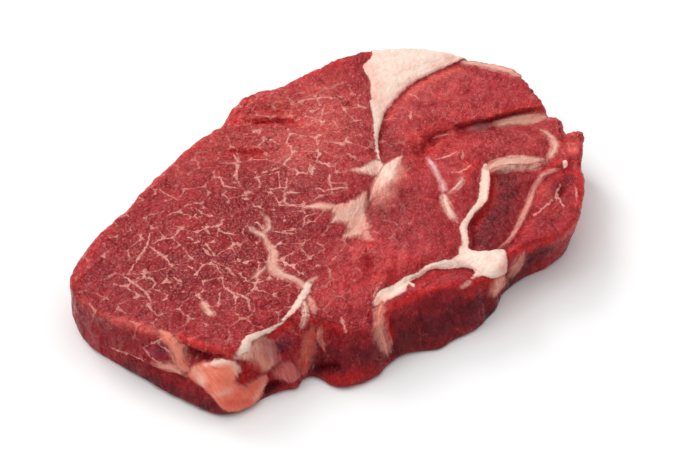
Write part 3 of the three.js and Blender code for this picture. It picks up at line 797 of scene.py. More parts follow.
@dataclass(frozen=True)
class SteakForm:
    """The form of the solid: its rim, cut face, wall and foot."""

    thickness: float = 23
    top_edge_radius: float = 2.2
    foot_radius: float = 3.5
    pressed_in: float = 1
    swell: float = 1.1
    swell_reach: float = 8
    swell_middle: float = 0.5
    wave_climb: float = 0.8
    wall_unevenness: float = 2
    normal_span: float = 0.015
    samples: int = 24
    round_share: float = 0.28
    relief_end: float = 0.9

    def __post_init__(self) -> None:
        """Measure the rim once, as every wall point is read along it."""
        stations = np.array([point for side in RIM_SIDES for point in side], float)
        shares = np.linspace(0, 1, len(stations) * self.samples + 1)
        ring = through(stations, True, shares)
        passed = np.concatenate([[0], np.cumsum(np.linalg.norm(np.diff(ring, axis=0), axis=1))])
        starts = np.cumsum([0] + [len(side) for side in RIM_SIDES]) * self.samples
        object.__setattr__(self, "stations", stations)
        object.__setattr__(self, "shares", shares)
        object.__setattr__(self, "passed", passed)
        object.__setattr__(self, "corners", passed[starts] / passed[-1])
        object.__setattr__(self, "grooves", [(line, drawn(line.path)) for line in GROOVES])

    def rim(self, turn: np.ndarray) -> tuple[np.ndarray, np.ndarray]:
        """Read the rim.

        Args:
            turn: shares of the way round.

        Returns:
            The rim's points in plan, and its outward directions there.
        """

        def at(where: np.ndarray) -> np.ndarray:
            """The rim's points at shares of its length."""
            share = np.interp((where % 1) * self.passed[-1], self.passed, self.shares)
            return through(self.stations, True, share)

        along = at(turn + self.normal_span) - at(turn - self.normal_span)
        along /= np.linalg.norm(along, axis=1, keepdims=True)
        return at(turn), np.stack([along[:, 1], -along[:, 0]], axis=1)

    def waves(self, places: np.ndarray, z: np.ndarray | float = 0.0) -> np.ndarray:
        """The slow swell at places in plan and their heights."""
        total = np.zeros(len(places))
        for wave in WAVES:
            angle = math.radians(wave.heading)
            along = places @ np.array([math.cos(angle), math.sin(angle)]) + self.wave_climb * z
            total += wave.height * np.sin(2 * math.pi * along / wave.length)
        return total

    def seams(self, places: np.ndarray) -> tuple[np.ndarray, np.ndarray]:
        """The depth of the grooves at places in plan, and the distance to the nearest one."""
        groove = np.zeros(len(places))
        closest = np.full(len(places), np.inf)
        for line, curve in self.grooves:
            distance = np.linalg.norm(nearest(curve, places)[0], axis=1)
            groove = np.maximum(groove, line.depth * bell(distance, line.reach))
            closest = np.minimum(closest, distance)
        return groove, closest

    @staticmethod
    def sum_at(features: tuple[Place, ...], places: np.ndarray) -> np.ndarray:
        """What the features of a list add up to at places."""
        total = np.zeros(len(places))
        for feature in features:
            distance = np.linalg.norm(places - np.array(feature.at), axis=1)
            total += feature.amount * bell(distance, feature.reach)
        return total

    def cut_face(self, places: np.ndarray) -> np.ndarray:
        """The height of the cut face at places in plan."""
        groove, closest = self.seams(places)
        swell = self.swell * (self.swell_middle - bell(closest, self.swell_reach))
        return self.thickness - self.sum_at(SAGS, places) + swell - groove + self.waves(places)

    def wall(self, turn: np.ndarray, down: np.ndarray) -> np.ndarray:
        """Read the wall.

        Args:
            turn: shares of the way round the rim.
            down: 0 at the cut face to 1 under the foot.

        Returns:
            The wall's points.
        """
        point, outward = self.rim(turn)
        edge = point - self.top_edge_radius * outward
        straight = np.clip((down - self.round_share) / (1 - 2 * self.round_share), 0, 1)
        shoulder = self.cut_face(edge) - self.top_edge_radius
        z = shoulder + (self.foot_radius - self.pressed_in - shoulder) * straight
        out = self.sum_at(FLARES, point) * straight
        above, below = (
            np.maximum(0, past / self.round_share) * math.pi / 2
            for past in (self.round_share - down, down - 1 + self.round_share)
        )
        out -= self.top_edge_radius * (1 - np.cos(above)) + self.foot_radius * (1 - np.cos(below))
        z += self.top_edge_radius * np.sin(above) - self.foot_radius * np.sin(below)
        place = point + out[:, None] * outward
        relief = self.wall_unevenness * self.waves(place, z) - self.seams(place)[0]
        relief += self.sum_at(LUMPS, np.column_stack([place, z]))
        strength = np.sin(math.pi * np.minimum(down / self.relief_end, 1))
        return np.column_stack([place + (strength * relief)[:, None] * outward, z])

    def turn_of(self, side: int, share: np.ndarray) -> np.ndarray:
        """How far round the rim a share of one side lies."""
        return self.corners[side] + (self.corners[side + 1] - self.corners[side]) * share


@dataclass
class Steak:
    """The steak as one fine mesh, with the tissues marked on it."""

    form: SteakForm = field(default_factory=SteakForm)
    cells_long: tuple[int, int] = (3, 50)
    cells_wide: tuple[int, int] = (2, 49)
    cells_down: tuple[int, int] = (1, 12)
    rows: tuple[float, ...] = (0, 0.14, 0.82, 1)
    slant: float = 0.785
    toward: tuple[float, float] = (-0.7071, -0.7071)
    near_side: tuple[float, float] = (-0.25, 0.25)
    relief_above: tuple[float, float] = (0.05, 2.5)
    snap: float = 1e-5
    digits: int = 6

    def block(self) -> bpy.types.Object:
        """Add a block of the steak's size and divide it into a grid.

        Returns:
            The block, with a finer grid on its top and sides than under it.
        """
        bpy.ops.object.select_all(action="DESELECT")
        low, high = CAD_BOX
        bpy.ops.mesh.primitive_cube_add(size=1, location=(low + high) / 2, scale=high - low)
        piece = bpy.context.active_object
        piece.name = piece.data.name = "steak_flesh"
        bpy.ops.object.transform_apply(location=True, rotation=True, scale=True)
        for axis, (coarse, fine) in enumerate((self.cells_long, self.cells_wide, self.cells_down)):
            self.cut_across(piece, axis, coarse)
            self.cut_across(piece, axis, fine)
        self.refine_above(piece, low.z)
        return piece

    @staticmethod
    def cut_across(piece: bpy.types.Object, axis: int, cells: int) -> None:
        """Divide every cell of the block along one axis.

        Args:
            piece: the block.
            axis: 0, 1 or 2.
            cells: how many cells each one becomes.
        """
        if cells < 2:
            return
        mesh = piece.data
        ends = np.zeros(len(mesh.edges) * 2, np.int32)
        mesh.edges.foreach_get("vertices", ends)
        runs = np.abs(np.diff(read_rows(mesh.vertices, "co")[ends.reshape(-1, 2)], axis=1)[:, 0])
        Steak.select(piece, "edges", np.argmax(runs, axis=1) == axis)
        bpy.ops.object.mode_set(mode="EDIT")
        bpy.ops.mesh.subdivide(number_cuts=cells - 1)
        bpy.ops.object.mode_set(mode="OBJECT")

    @staticmethod
    def select(piece: bpy.types.Object, kind: str, chosen: np.ndarray) -> None:
        """Select only the chosen edges or faces, with the matching select mode."""
        mesh = piece.data
        bpy.context.tool_settings.mesh_select_mode = (False, kind == "edges", kind == "polygons")
        for what in ("vertices", "edges", "polygons"):
            getattr(mesh, what).foreach_set("select", np.zeros(len(getattr(mesh, what)), bool))
        getattr(mesh, kind).foreach_set("select", chosen)
        mesh.update()

    @staticmethod
    def refine_above(piece: bpy.types.Object, floor: float) -> None:
        """Halve the cells of the top and the sides, but not those of the underside."""
        centres = read_rows(piece.data.polygons, "center")
        Steak.select(piece, "polygons", centres[:, 2] > floor + HAIRSBREADTH)
        bpy.ops.object.mode_set(mode="EDIT")
        bpy.ops.mesh.subdivide(number_cuts=1, ngon=True)
        bpy.ops.object.mode_set(mode="OBJECT")

    def build(self) -> bpy.types.Object:
        """Wrap the block onto the steak's form, press in the relief and mark the tissues.

        Returns:
            The finished piece.
        """
        piece = self.block()
        mesh = piece.data
        low, high = np.array(CAD_BOX[0]), np.array(CAD_BOX[1])
        shares = np.clip((read_rows(mesh.vertices, "co") - low) / (high - low), 0, 1)
        shares[shares < self.snap] = 0
        shares[shares > 1 - self.snap] = 1
        places, around, drift = self.wrap(shares)
        self.store(piece, places, low, high)
        normals = read_rows(mesh.vertex_normals, "vector")
        seen = places[:, :2] + drift * (self.form.thickness - places[:, 2])[:, None]
        marks = Markings(seen, places, around)
        marks.work_out()
        lift = marks.relief() * smooth_step(places[:, 2], *self.relief_above)
        places = places + normals * lift[:, None]
        places[:, 2] = np.maximum(places[:, 2], 0)
        self.store(piece, places, low, high)
        marks.write(mesh)
        bpy.ops.object.shade_smooth()
        log.info("%s: %d points, %d faces", piece.name, len(mesh.vertices), len(mesh.polygons))
        return piece

    def wrap(self, shares: np.ndarray) -> tuple[np.ndarray, np.ndarray, np.ndarray]:
        """Wrap the points of the block onto the steak.

        Args:
            shares: each point's place in the block, 0 to 1 each way.

        Returns:
            The points on the steak; how far round the rim each wall point lies, in millimetres,
            and a negative number elsewhere; and which way the fibres drift with the depth.
        """
        u, v, w = shares.T
        form = self.form
        down = np.interp(1 - w, self.rows, [0, form.round_share, 1 - form.round_share, 1])
        turn = np.select(
            [u == 1, v == 1, u == 0],
            [form.turn_of(0, v), form.turn_of(1, 1 - u), form.turn_of(2, 1 - v)],
            form.turn_of(3, u),
        )
        on_wall = (u == 0) | (u == 1) | (v == 0) | (v == 1)
        places = np.zeros((len(u), 3))
        places[on_wall] = form.wall(turn[on_wall], down[on_wall])
        for level, height in ((w == 1, None), (w == 0, -form.pressed_in)):
            inner = level & ~on_wall
            flat = self.blend(u[inner], v[inner], 0.0 if height is None else 1.0)
            z = form.cut_face(flat) if height is None else np.full(len(flat), height)
            places[inner] = np.column_stack([flat, z])
        places[:, 2] = np.maximum(places[:, 2], 0)
        outward = form.rim(turn)[1]
        near = smooth_step(outward @ np.array(self.toward), *self.near_side)
        facing = np.where(w == 1, 1.0, np.where(w == 0, 0.0, near))
        far = np.where(on_wall & (w < 1) & (w > 0), 1 - near, 0.0)
        drift = self.slant * (far[:, None] * outward - facing[:, None])
        around = np.where(on_wall & (w < 1), (turn % 1) * form.passed[-1], -1.0)
        return places, around, drift

    def blend(self, u: np.ndarray, v: np.ndarray, down: float) -> np.ndarray:
        """Places in plan of the face that the four sides bound, blended between them."""
        form = self.form

        def side(number: int, share: np.ndarray) -> np.ndarray:
            """Points along one side of the face."""
            return form.wall(form.turn_of(number, share), np.full(len(share), down))[:, :2]

        def across(keys: np.ndarray, number: int, flip: bool) -> np.ndarray:
            """A side's point for each of the keys, worked out once for keys that are the same."""
            values, index = np.unique(np.round(keys, self.digits), return_inverse=True)
            return side(number, 1 - values if flip else values)[index]

        zero, one = np.zeros(1), np.ones(1)
        corners = {
            (0, 0): side(3, zero), (1, 0): side(0, zero), (1, 1): side(1, zero), (0, 1): side(2, zero),
        }
        total = across(u, 3, False) * (1 - v)[:, None] + across(u, 1, True) * v[:, None]
        total += across(v, 2, True) * (1 - u)[:, None] + across(v, 0, False) * u[:, None]
        for (a, b), corner in corners.items():
            weight = (u if a else 1 - u) * (v if b else 1 - v)
            total -= weight[:, None] * corner
        return total

    @staticmethod
    def store(piece: bpy.types.Object, places: np.ndarray, low: np.ndarray, high: np.ndarray) -> None:
        """Write the points to the mesh, settled into the solid's own box.

        Args:
            piece: the steak.
            places: its points, in millimetres.
            low: the box's lowest corner, in metres.
            high: the box's highest corner.
        """
        least, most = places.min(axis=0), places.max(axis=0)
        settled = low + (places - least) / (most - least) * (high - low)
        piece.data.vertices.foreach_set("co", settled.ravel())
        piece.data.update()


@dataclass(frozen=True)
class MarblingNet:
    """A seeded net of thin veins around the bundles of muscle, with knots where three meet."""

    cell: float = 7.2
    jitter: float = 0.46
    half_width: tuple[float, float] = (-0.1, 0.18)
    shown: float = 0.6
    hidden: float = -0.9
    knot: float = 0.85
    knot_reach: float = 1.3
    keys: int = 4096
    stride: tuple[int, int] = (71, 173)
    squares: int = 5

    def read(self, places: np.ndarray) -> tuple[np.ndarray, np.ndarray]:
        """Read the net.

        Args:
            places: points on the cut face.

        Returns:
            The way from each point to the nearest vein, and half the width of the vein there.
        """
        draw = np.random.default_rng(RNG_SEED)
        shifts = draw.uniform(-self.jitter, self.jitter, (self.keys, 2))
        chance = draw.uniform(size=self.keys)
        sizes = draw.uniform(*self.half_width, self.keys)
        home = np.floor(places / self.cell)
        middle = self.squares // 2
        squares = [home + np.array(step) - middle for step in np.ndindex(self.squares, self.squares)]
        keys = np.array([(square @ np.array(self.stride) % self.keys).astype(int) for square in squares])
        away = np.array([(sq + 0.5 + shifts[key]) * self.cell for sq, key in zip(squares, keys)]) - places
        rows = np.arange(len(places))
        first = np.argmin((away**2).sum(axis=2), axis=0)
        across = away - away[first, rows]
        reach = np.linalg.norm(across, axis=2)
        reach[first, rows] = 1
        gaps = ((away + away[first, rows]) / 2 * across).sum(axis=2) / reach
        gaps[first, rows] = np.inf
        second, third = np.argsort(gaps, axis=0)[:2]
        way = (gaps[second, rows] / reach[second, rows])[:, None] * across[second, rows]
        pair = (keys[first, rows] + keys[second, rows]) % self.keys
        trio = (pair + keys[third, rows]) % self.keys
        near_knot = bell(gaps[third, rows], self.knot_reach)
        half = np.where(chance[pair] < self.shown, sizes[pair], self.hidden * (1 - near_knot))
        return way, half + self.knot * chance[trio] * near_knot


@dataclass(frozen=True)
class Ripple:
    """Noise pressed in everywhere: its size, its height, and what muscle has on top of that."""

    size: float
    height: float
    more_on_lean: float = 0.0


@dataclass(frozen=True)
class Folds:
    """Noise drawn out into folds: their size each way and their height."""

    sizes: tuple[float, float, float]
    height: float

    def read(self, noise: Noise, places: np.ndarray) -> np.ndarray:
        """Read the folds, about -1 to 1."""
        return noise.at(places / np.array(self.sizes))


class Markings:
    """What each point of the steak is made of, and how far it stands proud. All in millimetres."""

    FAR_OFF = 9.0
    FAT_BLEND = 0.9
    FAT_MARGIN = 8
    AREA_MARGIN = 6
    END_TAPER = 2.2
    VEIN_MARGIN = 3.0
    VEIN_TIP = 0.35
    PIECE_SHIFT = 7.0
    PLAIN_SOFTNESS = 0.4
    TONE_REACHES = 2.5
    PATCH_SIZE = 5
    PATCH_DEPTH = 0.5
    MOST_TONE = 1.3
    MOST_MARBLED = 1.4

    LEAN_FROM = (-0.5, 0.8)
    FAT_FADE = 0.7
    FAT_RIM = 0.7
    FAT_RIM_DEPTH = 0.2
    RIPPLES = (Ripple(7, 0.35), Ripple(3.4, 0.1, 0.26), Ripple(1.8, 0.05, 0.16))
    FAT_STRANDS = Folds((1.3, 7.0, 1.0), 0.1)
    FAT_LUMPS = Folds((3.1, 3.1, 3.1), 0.4)
    WALL_STRANDS = Folds((2.3, 10, 1), 0.22)
    WALL_TEARS = Folds((3.2, 16, 1), 1.8)
    LONG_STRANDS = Folds((2.4, 16, 9), 1.3)
    DRAPES = Folds((3.2, 13, 9), 1.6)
    FLAKES = Folds((2.4, 2.4, 2.4), 0.7)
    STRAND_TURN = ((0.82, 0.57), (0.57, -0.82))
    DRAPE_TURN = ((0.707, 0.707), (-0.707, 0.707))

    LEDGE_REACHES = 3
    LEDGE_BLEND = 0.4
    CREASE_SIZES = (6.5, 2.4)
    CREASE_SWAY = 0.3
    CREASE_WIDTH = 0.07
    CREASE_DEPTH = 0.4
    FULL_SHADE_DEPTH = 0.9
    STRAND_SHADE = 1.2

    def __init__(self, seen: np.ndarray, places: np.ndarray, around: np.ndarray) -> None:
        """Take the points.

        Args:
            seen: the place on the cut face that each point's fibres lead to.
            places: the points themselves.
            around: how far round the rim each wall point lies, negative elsewhere.
        """
        count = len(seen)
        self.seen = seen
        self.places = places
        self.around = around
        self.lean = np.tile(linear(Tissue.LEAN.value.tint), (count, 1))
        self.edge = np.full(count, self.FAR_OFF)
        self.fat = np.tile(linear(Tissue.PINK_FAT.value.tint), (count, 1))
        self.cover = np.ones(count)
        self.soft = np.full(count, self.PLAIN_SOFTNESS)
        self.proud = np.zeros(count)
        self.flow = np.zeros((count, 3))
        self.hollow = np.zeros(count)
        self.vein = np.full((count, 3), self.FAR_OFF)
        self.vein_edge = np.full(count, self.FAR_OFF)
        way, half = MarblingNet().read(seen)
        self.net = np.column_stack([way, half])
        self.wall = np.where(around >= 0, 1.0, 0.0)
        self.pieces = 0

    def work_out(self) -> None:
        """Mark the fat, the veins and the tones of the muscle."""
        for area in FAT_AREAS.values():
            self.add_area(area)
        for band in FAT_BANDS.values():
            near, way, share, run = self.follow(band.path, self.FAT_MARGIN)
            half = np.interp(share, np.linspace(0, 1, len(band.half_width)), band.half_width)
            length = run[:, 1].max()
            half -= band.tissue.value.soft * bell(length * np.minimum(share, 1 - share), self.END_TAPER)
            self.add_fat(near, np.linalg.norm(way, axis=1) - half, run, band.tissue, band.proud)
        for vein in MAIN_VEINS:
            self.add_vein(vein)
        spread = Noise(RNG_SEED).at(np.column_stack([self.seen / self.PATCH_SIZE, np.zeros(len(self.seen))]))
        patchy = np.clip(1 + self.PATCH_DEPTH * spread, 0, self.MOST_TONE)
        for tones, colours in ((TONES, self.lean), (FAT_TONES, self.fat)):
            for tone in tones:
                near, way, _, _ = self.follow(tone.path, self.TONE_REACHES * tone.reach)
                share = tone.strength * bell(np.linalg.norm(way, axis=1), tone.reach)
                share = np.minimum(share * patchy[near], 1)[:, None]
                colours[near] += share * (np.array(linear(tone.tissue.value.tint)) - colours[near])

    def follow(self, path: Path, margin: float) -> tuple[np.ndarray, np.ndarray, np.ndarray, np.ndarray]:
        """Follow the smooth line through a path.

        Args:
            path: the path.
            margin: how far from it to look, in millimetres.

        Returns:
            The points near it, the way from each to the line, the share of the line passed
            there, and how far across (left is more than 0) and along it each point lies.
        """
        line = drawn(path)
        near = near_box(line, self.seen, margin)
        way, share = nearest(line, self.seen[near])
        step = np.clip((share * (len(line) - 1)).astype(int), 0, len(line) - 2)
        run = (line[1:] - line[:-1])[step]
        side = np.sign(way[:, 0] * run[:, 1] - way[:, 1] * run[:, 0])
        length = np.linalg.norm(np.diff(line, axis=0), axis=1).sum()
        across = side * np.linalg.norm(way, axis=1)
        return near, way, share, np.column_stack([across, share * length])

    def add_area(self, area: Area) -> None:
        """Mark a patch of fat or skin."""
        outline = drawn(area.outline, closed=True, per_span=4)
        near = near_box(outline, self.seen, self.AREA_MARGIN)
        distance = np.linalg.norm(nearest(outline, self.seen[near])[0], axis=1)
        signed = np.where(inside(outline, self.seen[near]), -distance, distance)
        angle = math.radians(area.heading)
        turn = np.array([[-math.sin(angle), math.cos(angle)], [math.cos(angle), math.sin(angle)]])
        self.add_fat(near, signed, self.seen[near] @ turn, area.tissue, area.proud)

    def add_fat(
        self, near: np.ndarray, signed: np.ndarray, run: np.ndarray, tissue: Tissue, proud: float
    ) -> None:
        """Mark a piece of fat, laid softly over the pieces that it meets.

        Args:
            near: the points near the piece.
            signed: their distances from its edge, negative inside.
            run: how far across and along the piece they lie.
            tissue: what it is.
            proud: how far it stands out, in millimetres.
        """
        look = tissue.value
        self.pieces += 1
        within = smooth_step(-signed, -self.FAT_BLEND, self.FAT_BLEND)
        ahead = smooth_step(self.edge[near] - signed, -self.FAT_BLEND, self.FAT_BLEND)
        share = np.maximum(within, ahead)
        self.fat[near] += share[:, None] * (np.array(linear(look.tint)) - self.fat[near])
        self.cover[near] += share * (look.cover - self.cover[near])
        self.soft[near] += share * (look.soft - self.soft[near])
        self.proud[near] += share * (proud - self.proud[near])
        closer = signed < self.edge[near]
        rows = near[closer]
        self.edge[rows] = signed[closer]
        shift = np.full(len(rows), self.PIECE_SHIFT * self.pieces)
        self.flow[rows] = np.column_stack([run[closer], shift])

    def add_vein(self, vein: Line) -> None:
        """Mark a vein that tapers to both its ends."""
        near, way, share, _ = self.follow(vein.path, self.VEIN_MARGIN)
        half = vein.depth * (self.VEIN_TIP + (1 - self.VEIN_TIP) * np.sin(math.pi * share))
        signed = np.linalg.norm(way, axis=1) - half
        closer = signed < self.vein_edge[near]
        rows = near[closer]
        self.vein_edge[rows] = signed[closer]
        self.vein[rows] = np.column_stack([way[closer], half[closer]])

    def turned(self, turn: Path) -> np.ndarray:
        """The points, with their places in plan turned."""
        return np.column_stack([self.places[:, :2] @ np.array(turn), self.places[:, 2]])

    def relief(self) -> np.ndarray:
        """How far each point moves outwards. It also works out the painted shade of the cracks, creases and
        strand troughs.
        """
        lean = smooth_step(self.edge, *self.LEAN_FROM)
        coarse, middle, fine = noises = [Noise(RNG_SEED + i) for i in range(3)]
        firm = 1 - self.FAT_FADE * np.minimum(self.soft, 1)
        rim = bell(self.edge - self.FAT_RIM, self.FAT_RIM)
        lift = self.proud * (1 - lean) - self.FAT_RIM_DEPTH * firm * rim
        for noise, ripple in zip(noises, self.RIPPLES):
            lift += (ripple.height + ripple.more_on_lean * lean) * noise.at(self.places / ripple.size)

        unrolled = np.column_stack([self.around, self.places[:, 2], np.zeros(len(lift))])
        strands = self.LONG_STRANDS.read(coarse, self.turned(self.STRAND_TURN))
        strands = SteakForm.sum_at(STRANDED, self.seen) * strands
        lift += self.LONG_STRANDS.height * strands
        for folds, noise, places, strength in (
            (self.FAT_STRANDS, fine, self.flow, 1 - lean),
            (self.FAT_LUMPS, middle, self.places, self.proud * (1 - lean)),
            (self.WALL_STRANDS, middle, unrolled, self.wall * lean),
            (self.WALL_TEARS, coarse, unrolled, self.wall * SteakForm.sum_at(TORN, self.seen)),
            (self.DRAPES, middle, self.turned(self.DRAPE_TURN), SteakForm.sum_at(DRAPED, self.seen)),
            (self.FLAKES, middle, self.places, SteakForm.sum_at(RAGGED, self.seen)),
        ):
            lift += folds.height * strength * folds.read(noise, places)
        for ledge in LEDGES:
            near, _, share, run = self.follow(ledge.path, self.LEDGE_REACHES * ledge.reach)
            left = smooth_step(run[:, 0], -self.LEDGE_BLEND, self.LEDGE_BLEND)
            fade = np.sqrt(np.abs(np.sin(math.pi * share))) * np.exp(-np.abs(run[:, 0]) / ledge.reach)
            lift[near] += fade * (left * ledge.rise - (1 - left) * ledge.fall)

        slow, quick = (noise.at(self.places / size) for noise, size in zip((middle, fine), self.CREASE_SIZES))
        dents = self.CREASE_DEPTH * lean * bell(slow + self.CREASE_SWAY * quick, self.CREASE_WIDTH)
        for line in CRACKS:
            near, way, share, _ = self.follow(line.path, self.LEDGE_REACHES * line.reach)
            taper = np.sqrt(np.abs(np.sin(math.pi * share)))
            dents[near] += taper * line.depth * bell(np.linalg.norm(way, axis=1), line.reach)
        # Painted shade: the cracks and creases and the troughs between the fibre strands darken the colour,
        # as if shade lay in them.
        between = np.maximum(-self.STRAND_SHADE * strands, 0)
        self.hollow = np.clip(dents / self.FULL_SHADE_DEPTH + between, 0, 1)
        return lift - dents

    def write(self, mesh: bpy.types.Mesh) -> None:
        """Store the markings on the mesh, for the material to read."""
        marbled = np.clip(SteakForm.sum_at(MARBLED, self.seen), 0, self.MOST_MARBLED)
        stranded = np.clip(SteakForm.sum_at(STRANDED, self.seen), 0, 1)
        for name, kind, key, values in (
            # The fourth number of the lean colour is the painted shade of the cracks, creases and strand
            # troughs.
            ("lean", "FLOAT_COLOR", "color", np.column_stack([self.lean, self.hollow])),
            ("fat", "FLOAT_COLOR", "color", np.column_stack([self.fat, self.cover])),
            ("fat_edge", "FLOAT", "value", self.edge),
            ("fat_soft", "FLOAT", "value", self.soft),
            ("flow", "FLOAT_VECTOR", "vector", self.flow),
            ("vein", "FLOAT_VECTOR", "vector", self.vein),
            ("vein_edge", "FLOAT", "value", self.vein_edge),
            ("net", "FLOAT_VECTOR", "vector", self.net),
            ("net_edge", "FLOAT", "value", np.linalg.norm(self.net[:, :2], axis=1)),
            ("grain", "FLOAT_VECTOR", "vector", np.column_stack([self.wall, stranded, marbled])),
        ):
            layer = mesh.attributes.new(name, kind, "POINT")
            layer.data.foreach_set(key, values.astype(np.float32).ravel())


# ---------------------------------------------------------------------------------------------
# Materials
# ---------------------------------------------------------------------------------------------


Colour = tuple[float, float, float]
Ratios = tuple[float, float, float]
Masks = dict[str, bpy.types.NodeSocket]


@dataclass(frozen=True)
class Clouds:
    """Cloudy noise: its size in millimetres, how fine and rough it is, and how squeezed each way."""

    size: float
    detail: float = 2
    rough: float = 0.6
    squeeze: Ratios | None = None


@dataclass(frozen=True)
class Shade:
    """A tint that comes in as a value goes from one number to another."""

    start: float
    end: float
    tint: Colour


@dataclass(frozen=True)
class Mottle:
    """Clouds, and the tints of their dense and thin parts."""

    clouds: Clouds
    shades: tuple[Shade, ...]


class Graph:
    """A node tree with short ways to add and join its nodes."""

    def __init__(self, tree: bpy.types.NodeTree) -> None:
        """Start on an empty tree.

        Args:
            tree: a material's or a group's.
        """
        self.tree = tree

    def add(self, kind: str, settings: dict | None = None, **inputs: object) -> bpy.types.Node:
        """Add a node.

        Args:
            kind: the node's type, without its ShaderNode prefix.
            settings: properties of the node.
            inputs: values or sockets, by input name with underscores, or i0, i1 for a number.

        Returns:
            The node.
        """
        node = self.tree.nodes.new("ShaderNode" + kind)
        for name, value in (settings or {}).items():
            setattr(node, name, value)
        for name, value in inputs.items():
            place = int(name[1:]) if name[0] == "i" and name[1:].isdigit() else name.replace("_", " ")
            self.feed(node.inputs[place], value)
        return node

    def feed(self, socket: bpy.types.NodeSocket, value: object) -> None:
        """Join another socket to a socket, or give it a value of its own."""
        if isinstance(value, bpy.types.NodeSocket):
            self.tree.links.new(value, socket)
        else:
            socket.default_value = value

    def math(self, operation: str, *values: object) -> bpy.types.NodeSocket:
        """The result of a sum on numbers."""
        settings = {"operation": operation}
        return self.add("Math", settings, **{f"i{n}": v for n, v in enumerate(values)}).outputs[0]

    def vector(self, operation: str, *values: object) -> bpy.types.NodeSocket:
        """The result of a sum on vectors."""
        node = self.add("VectorMath", {"operation": operation})
        for number, value in enumerate(values):
            scales = operation == "SCALE" and number == 1
            self.feed(node.inputs["Scale"] if scales else node.inputs[number], value)
        return node.outputs["Value" if operation == "LENGTH" else "Vector"]

    def product(self, *values: object) -> bpy.types.NodeSocket:
        """The product of numbers."""
        total = values[0]
        for value in values[1:]:
            total = self.math("MULTIPLY", total, value)
        return total

    def less(self, mask: object, loss: float) -> bpy.types.NodeSocket:
        """1 where a mask is 0, down to 1 less the loss where it is 1."""
        return self.math("MULTIPLY_ADD", mask, -loss, 1.0)

    def step(self, value: object, low: object, high: object) -> bpy.types.NodeSocket:
        """0 at low, 1 at high, and smooth between them."""
        settings = {"interpolation_type": "SMOOTHSTEP"}
        return self.add("MapRange", settings, Value=value, From_Min=low, From_Max=high).outputs["Result"]

    def mix(self, share: object, first: object, second: object, blend: str = "MIX") -> bpy.types.NodeSocket:
        """The first colour with a share of the second mixed in."""
        node = self.add("Mix", {"data_type": "RGBA", "blend_type": blend})
        for number, value in ((0, share), (6, first), (7, second)):
            self.feed(node.inputs[number], value)
        return node.outputs[2]

    def tint(self, colour: object, tint: Colour, *shares: object) -> bpy.types.NodeSocket:
        """The colour with a tint multiplied in, by the product of the shares."""
        return self.mix(self.product(*shares), colour, (*tint, 1), "MULTIPLY")

    def cover(self, colour: object, tissue: Tissue, *shares: object) -> bpy.types.NodeSocket:
        """The colour with a tissue's own laid over it, by the product of the shares."""
        return self.mix(self.product(*shares), colour, rgba(tissue))

    def shade(self, colour: object, value: object, shade: Shade, *shares: object) -> bpy.types.NodeSocket:
        """The colour with a shade where the value calls for it, by the product of the shares."""
        return self.tint(colour, shade.tint, self.step(value, shade.start, shade.end), *shares)

    def mottle(self, colour: object, where: object, mottle: Mottle, *shares: object) -> bpy.types.NodeSocket:
        """The colour with the tints of a mottle."""
        value = self.clouds(where, mottle.clouds)
        for shade in mottle.shades:
            colour = self.shade(colour, value, shade, *shares)
        return colour

    def clouds(self, where: object, clouds: Clouds, output: str = "Fac") -> bpy.types.NodeSocket:
        """Read cloudy noise at a place, as a number or as a colour."""
        if clouds.squeeze:
            where = self.vector("MULTIPLY", where, clouds.squeeze)
        fineness = {"Scale": 1 / clouds.size, "Detail": clouds.detail, "Roughness": clouds.rough}
        return self.add("TexNoise", {}, Vector=where, **fineness).outputs[output]


def rgba(tissue: Tissue) -> tuple[float, float, float, float]:
    """A tissue's colour for a socket."""
    return (*linear(tissue.value.tint), 1.0)


def add_group(name: str, inputs: dict[str, str], outputs: dict[str, str]) -> tuple[Graph, dict, dict]:
    """Start a node group.

    Args:
        name: its name.
        inputs: the type of each input socket, by name.
        outputs: the type of each output socket, by name.

    Returns:
        The group's graph, the sockets that it is given and the sockets that it fills.
    """
    tree = bpy.data.node_groups.new(name, "ShaderNodeTree")
    for way, sockets in (("INPUT", inputs), ("OUTPUT", outputs)):
        for label, kind in sockets.items():
            tree.interface.new_socket(label, in_out=way, socket_type="NodeSocket" + kind)
    return Graph(tree), tree.nodes.new("NodeGroupInput").outputs, tree.nodes.new("NodeGroupOutput").inputs


def sway(graph: Graph, place: bpy.types.NodeSocket, clouds: Clouds, reach: float) -> bpy.types.NodeSocket:
    """A place pushed about by clouds, as far as the reach."""
    return graph.vector("ADD", place, graph.vector("SCALE", graph.clouds(place, clouds, "Color"), reach))


def marbling_group() -> bpy.types.NodeTree:
    """Make the net of the finest pale veins that runs through muscle.

    Returns:
        A group that turns a place, the size of the cells, the width of the veins and how broken
        they are into a mask of veins.
    """
    inner_share, faintest, whole_from = 0.3, 0.02, 0.75
    graph, given, result = add_group(
        "marbling", {"Place": "Vector", "Cell": "Float", "Width": "Float", "Broken": "Float"},
        {"Mask": "Float"},
    )
    swayed = sway(graph, given["Place"], Clouds(3), 1.8)
    scale = graph.math("DIVIDE", 1.0, given["Cell"])
    cells = graph.add("TexVoronoi", {"feature": "DISTANCE_TO_EDGE"}, Vector=swayed, Scale=scale)
    gap = graph.product(cells.outputs["Distance"], given["Cell"])
    gate = graph.clouds(given["Place"], Clouds(3.2))
    width = graph.product(given["Width"], graph.step(gate, given["Broken"], whole_from))
    vein = graph.math("SUBTRACT", 1.0, graph.step(gap, graph.product(width, inner_share), width))
    shown = graph.math("GREATER_THAN", width, faintest)
    graph.feed(result["Mask"], graph.product(vein, shown))
    return graph.tree


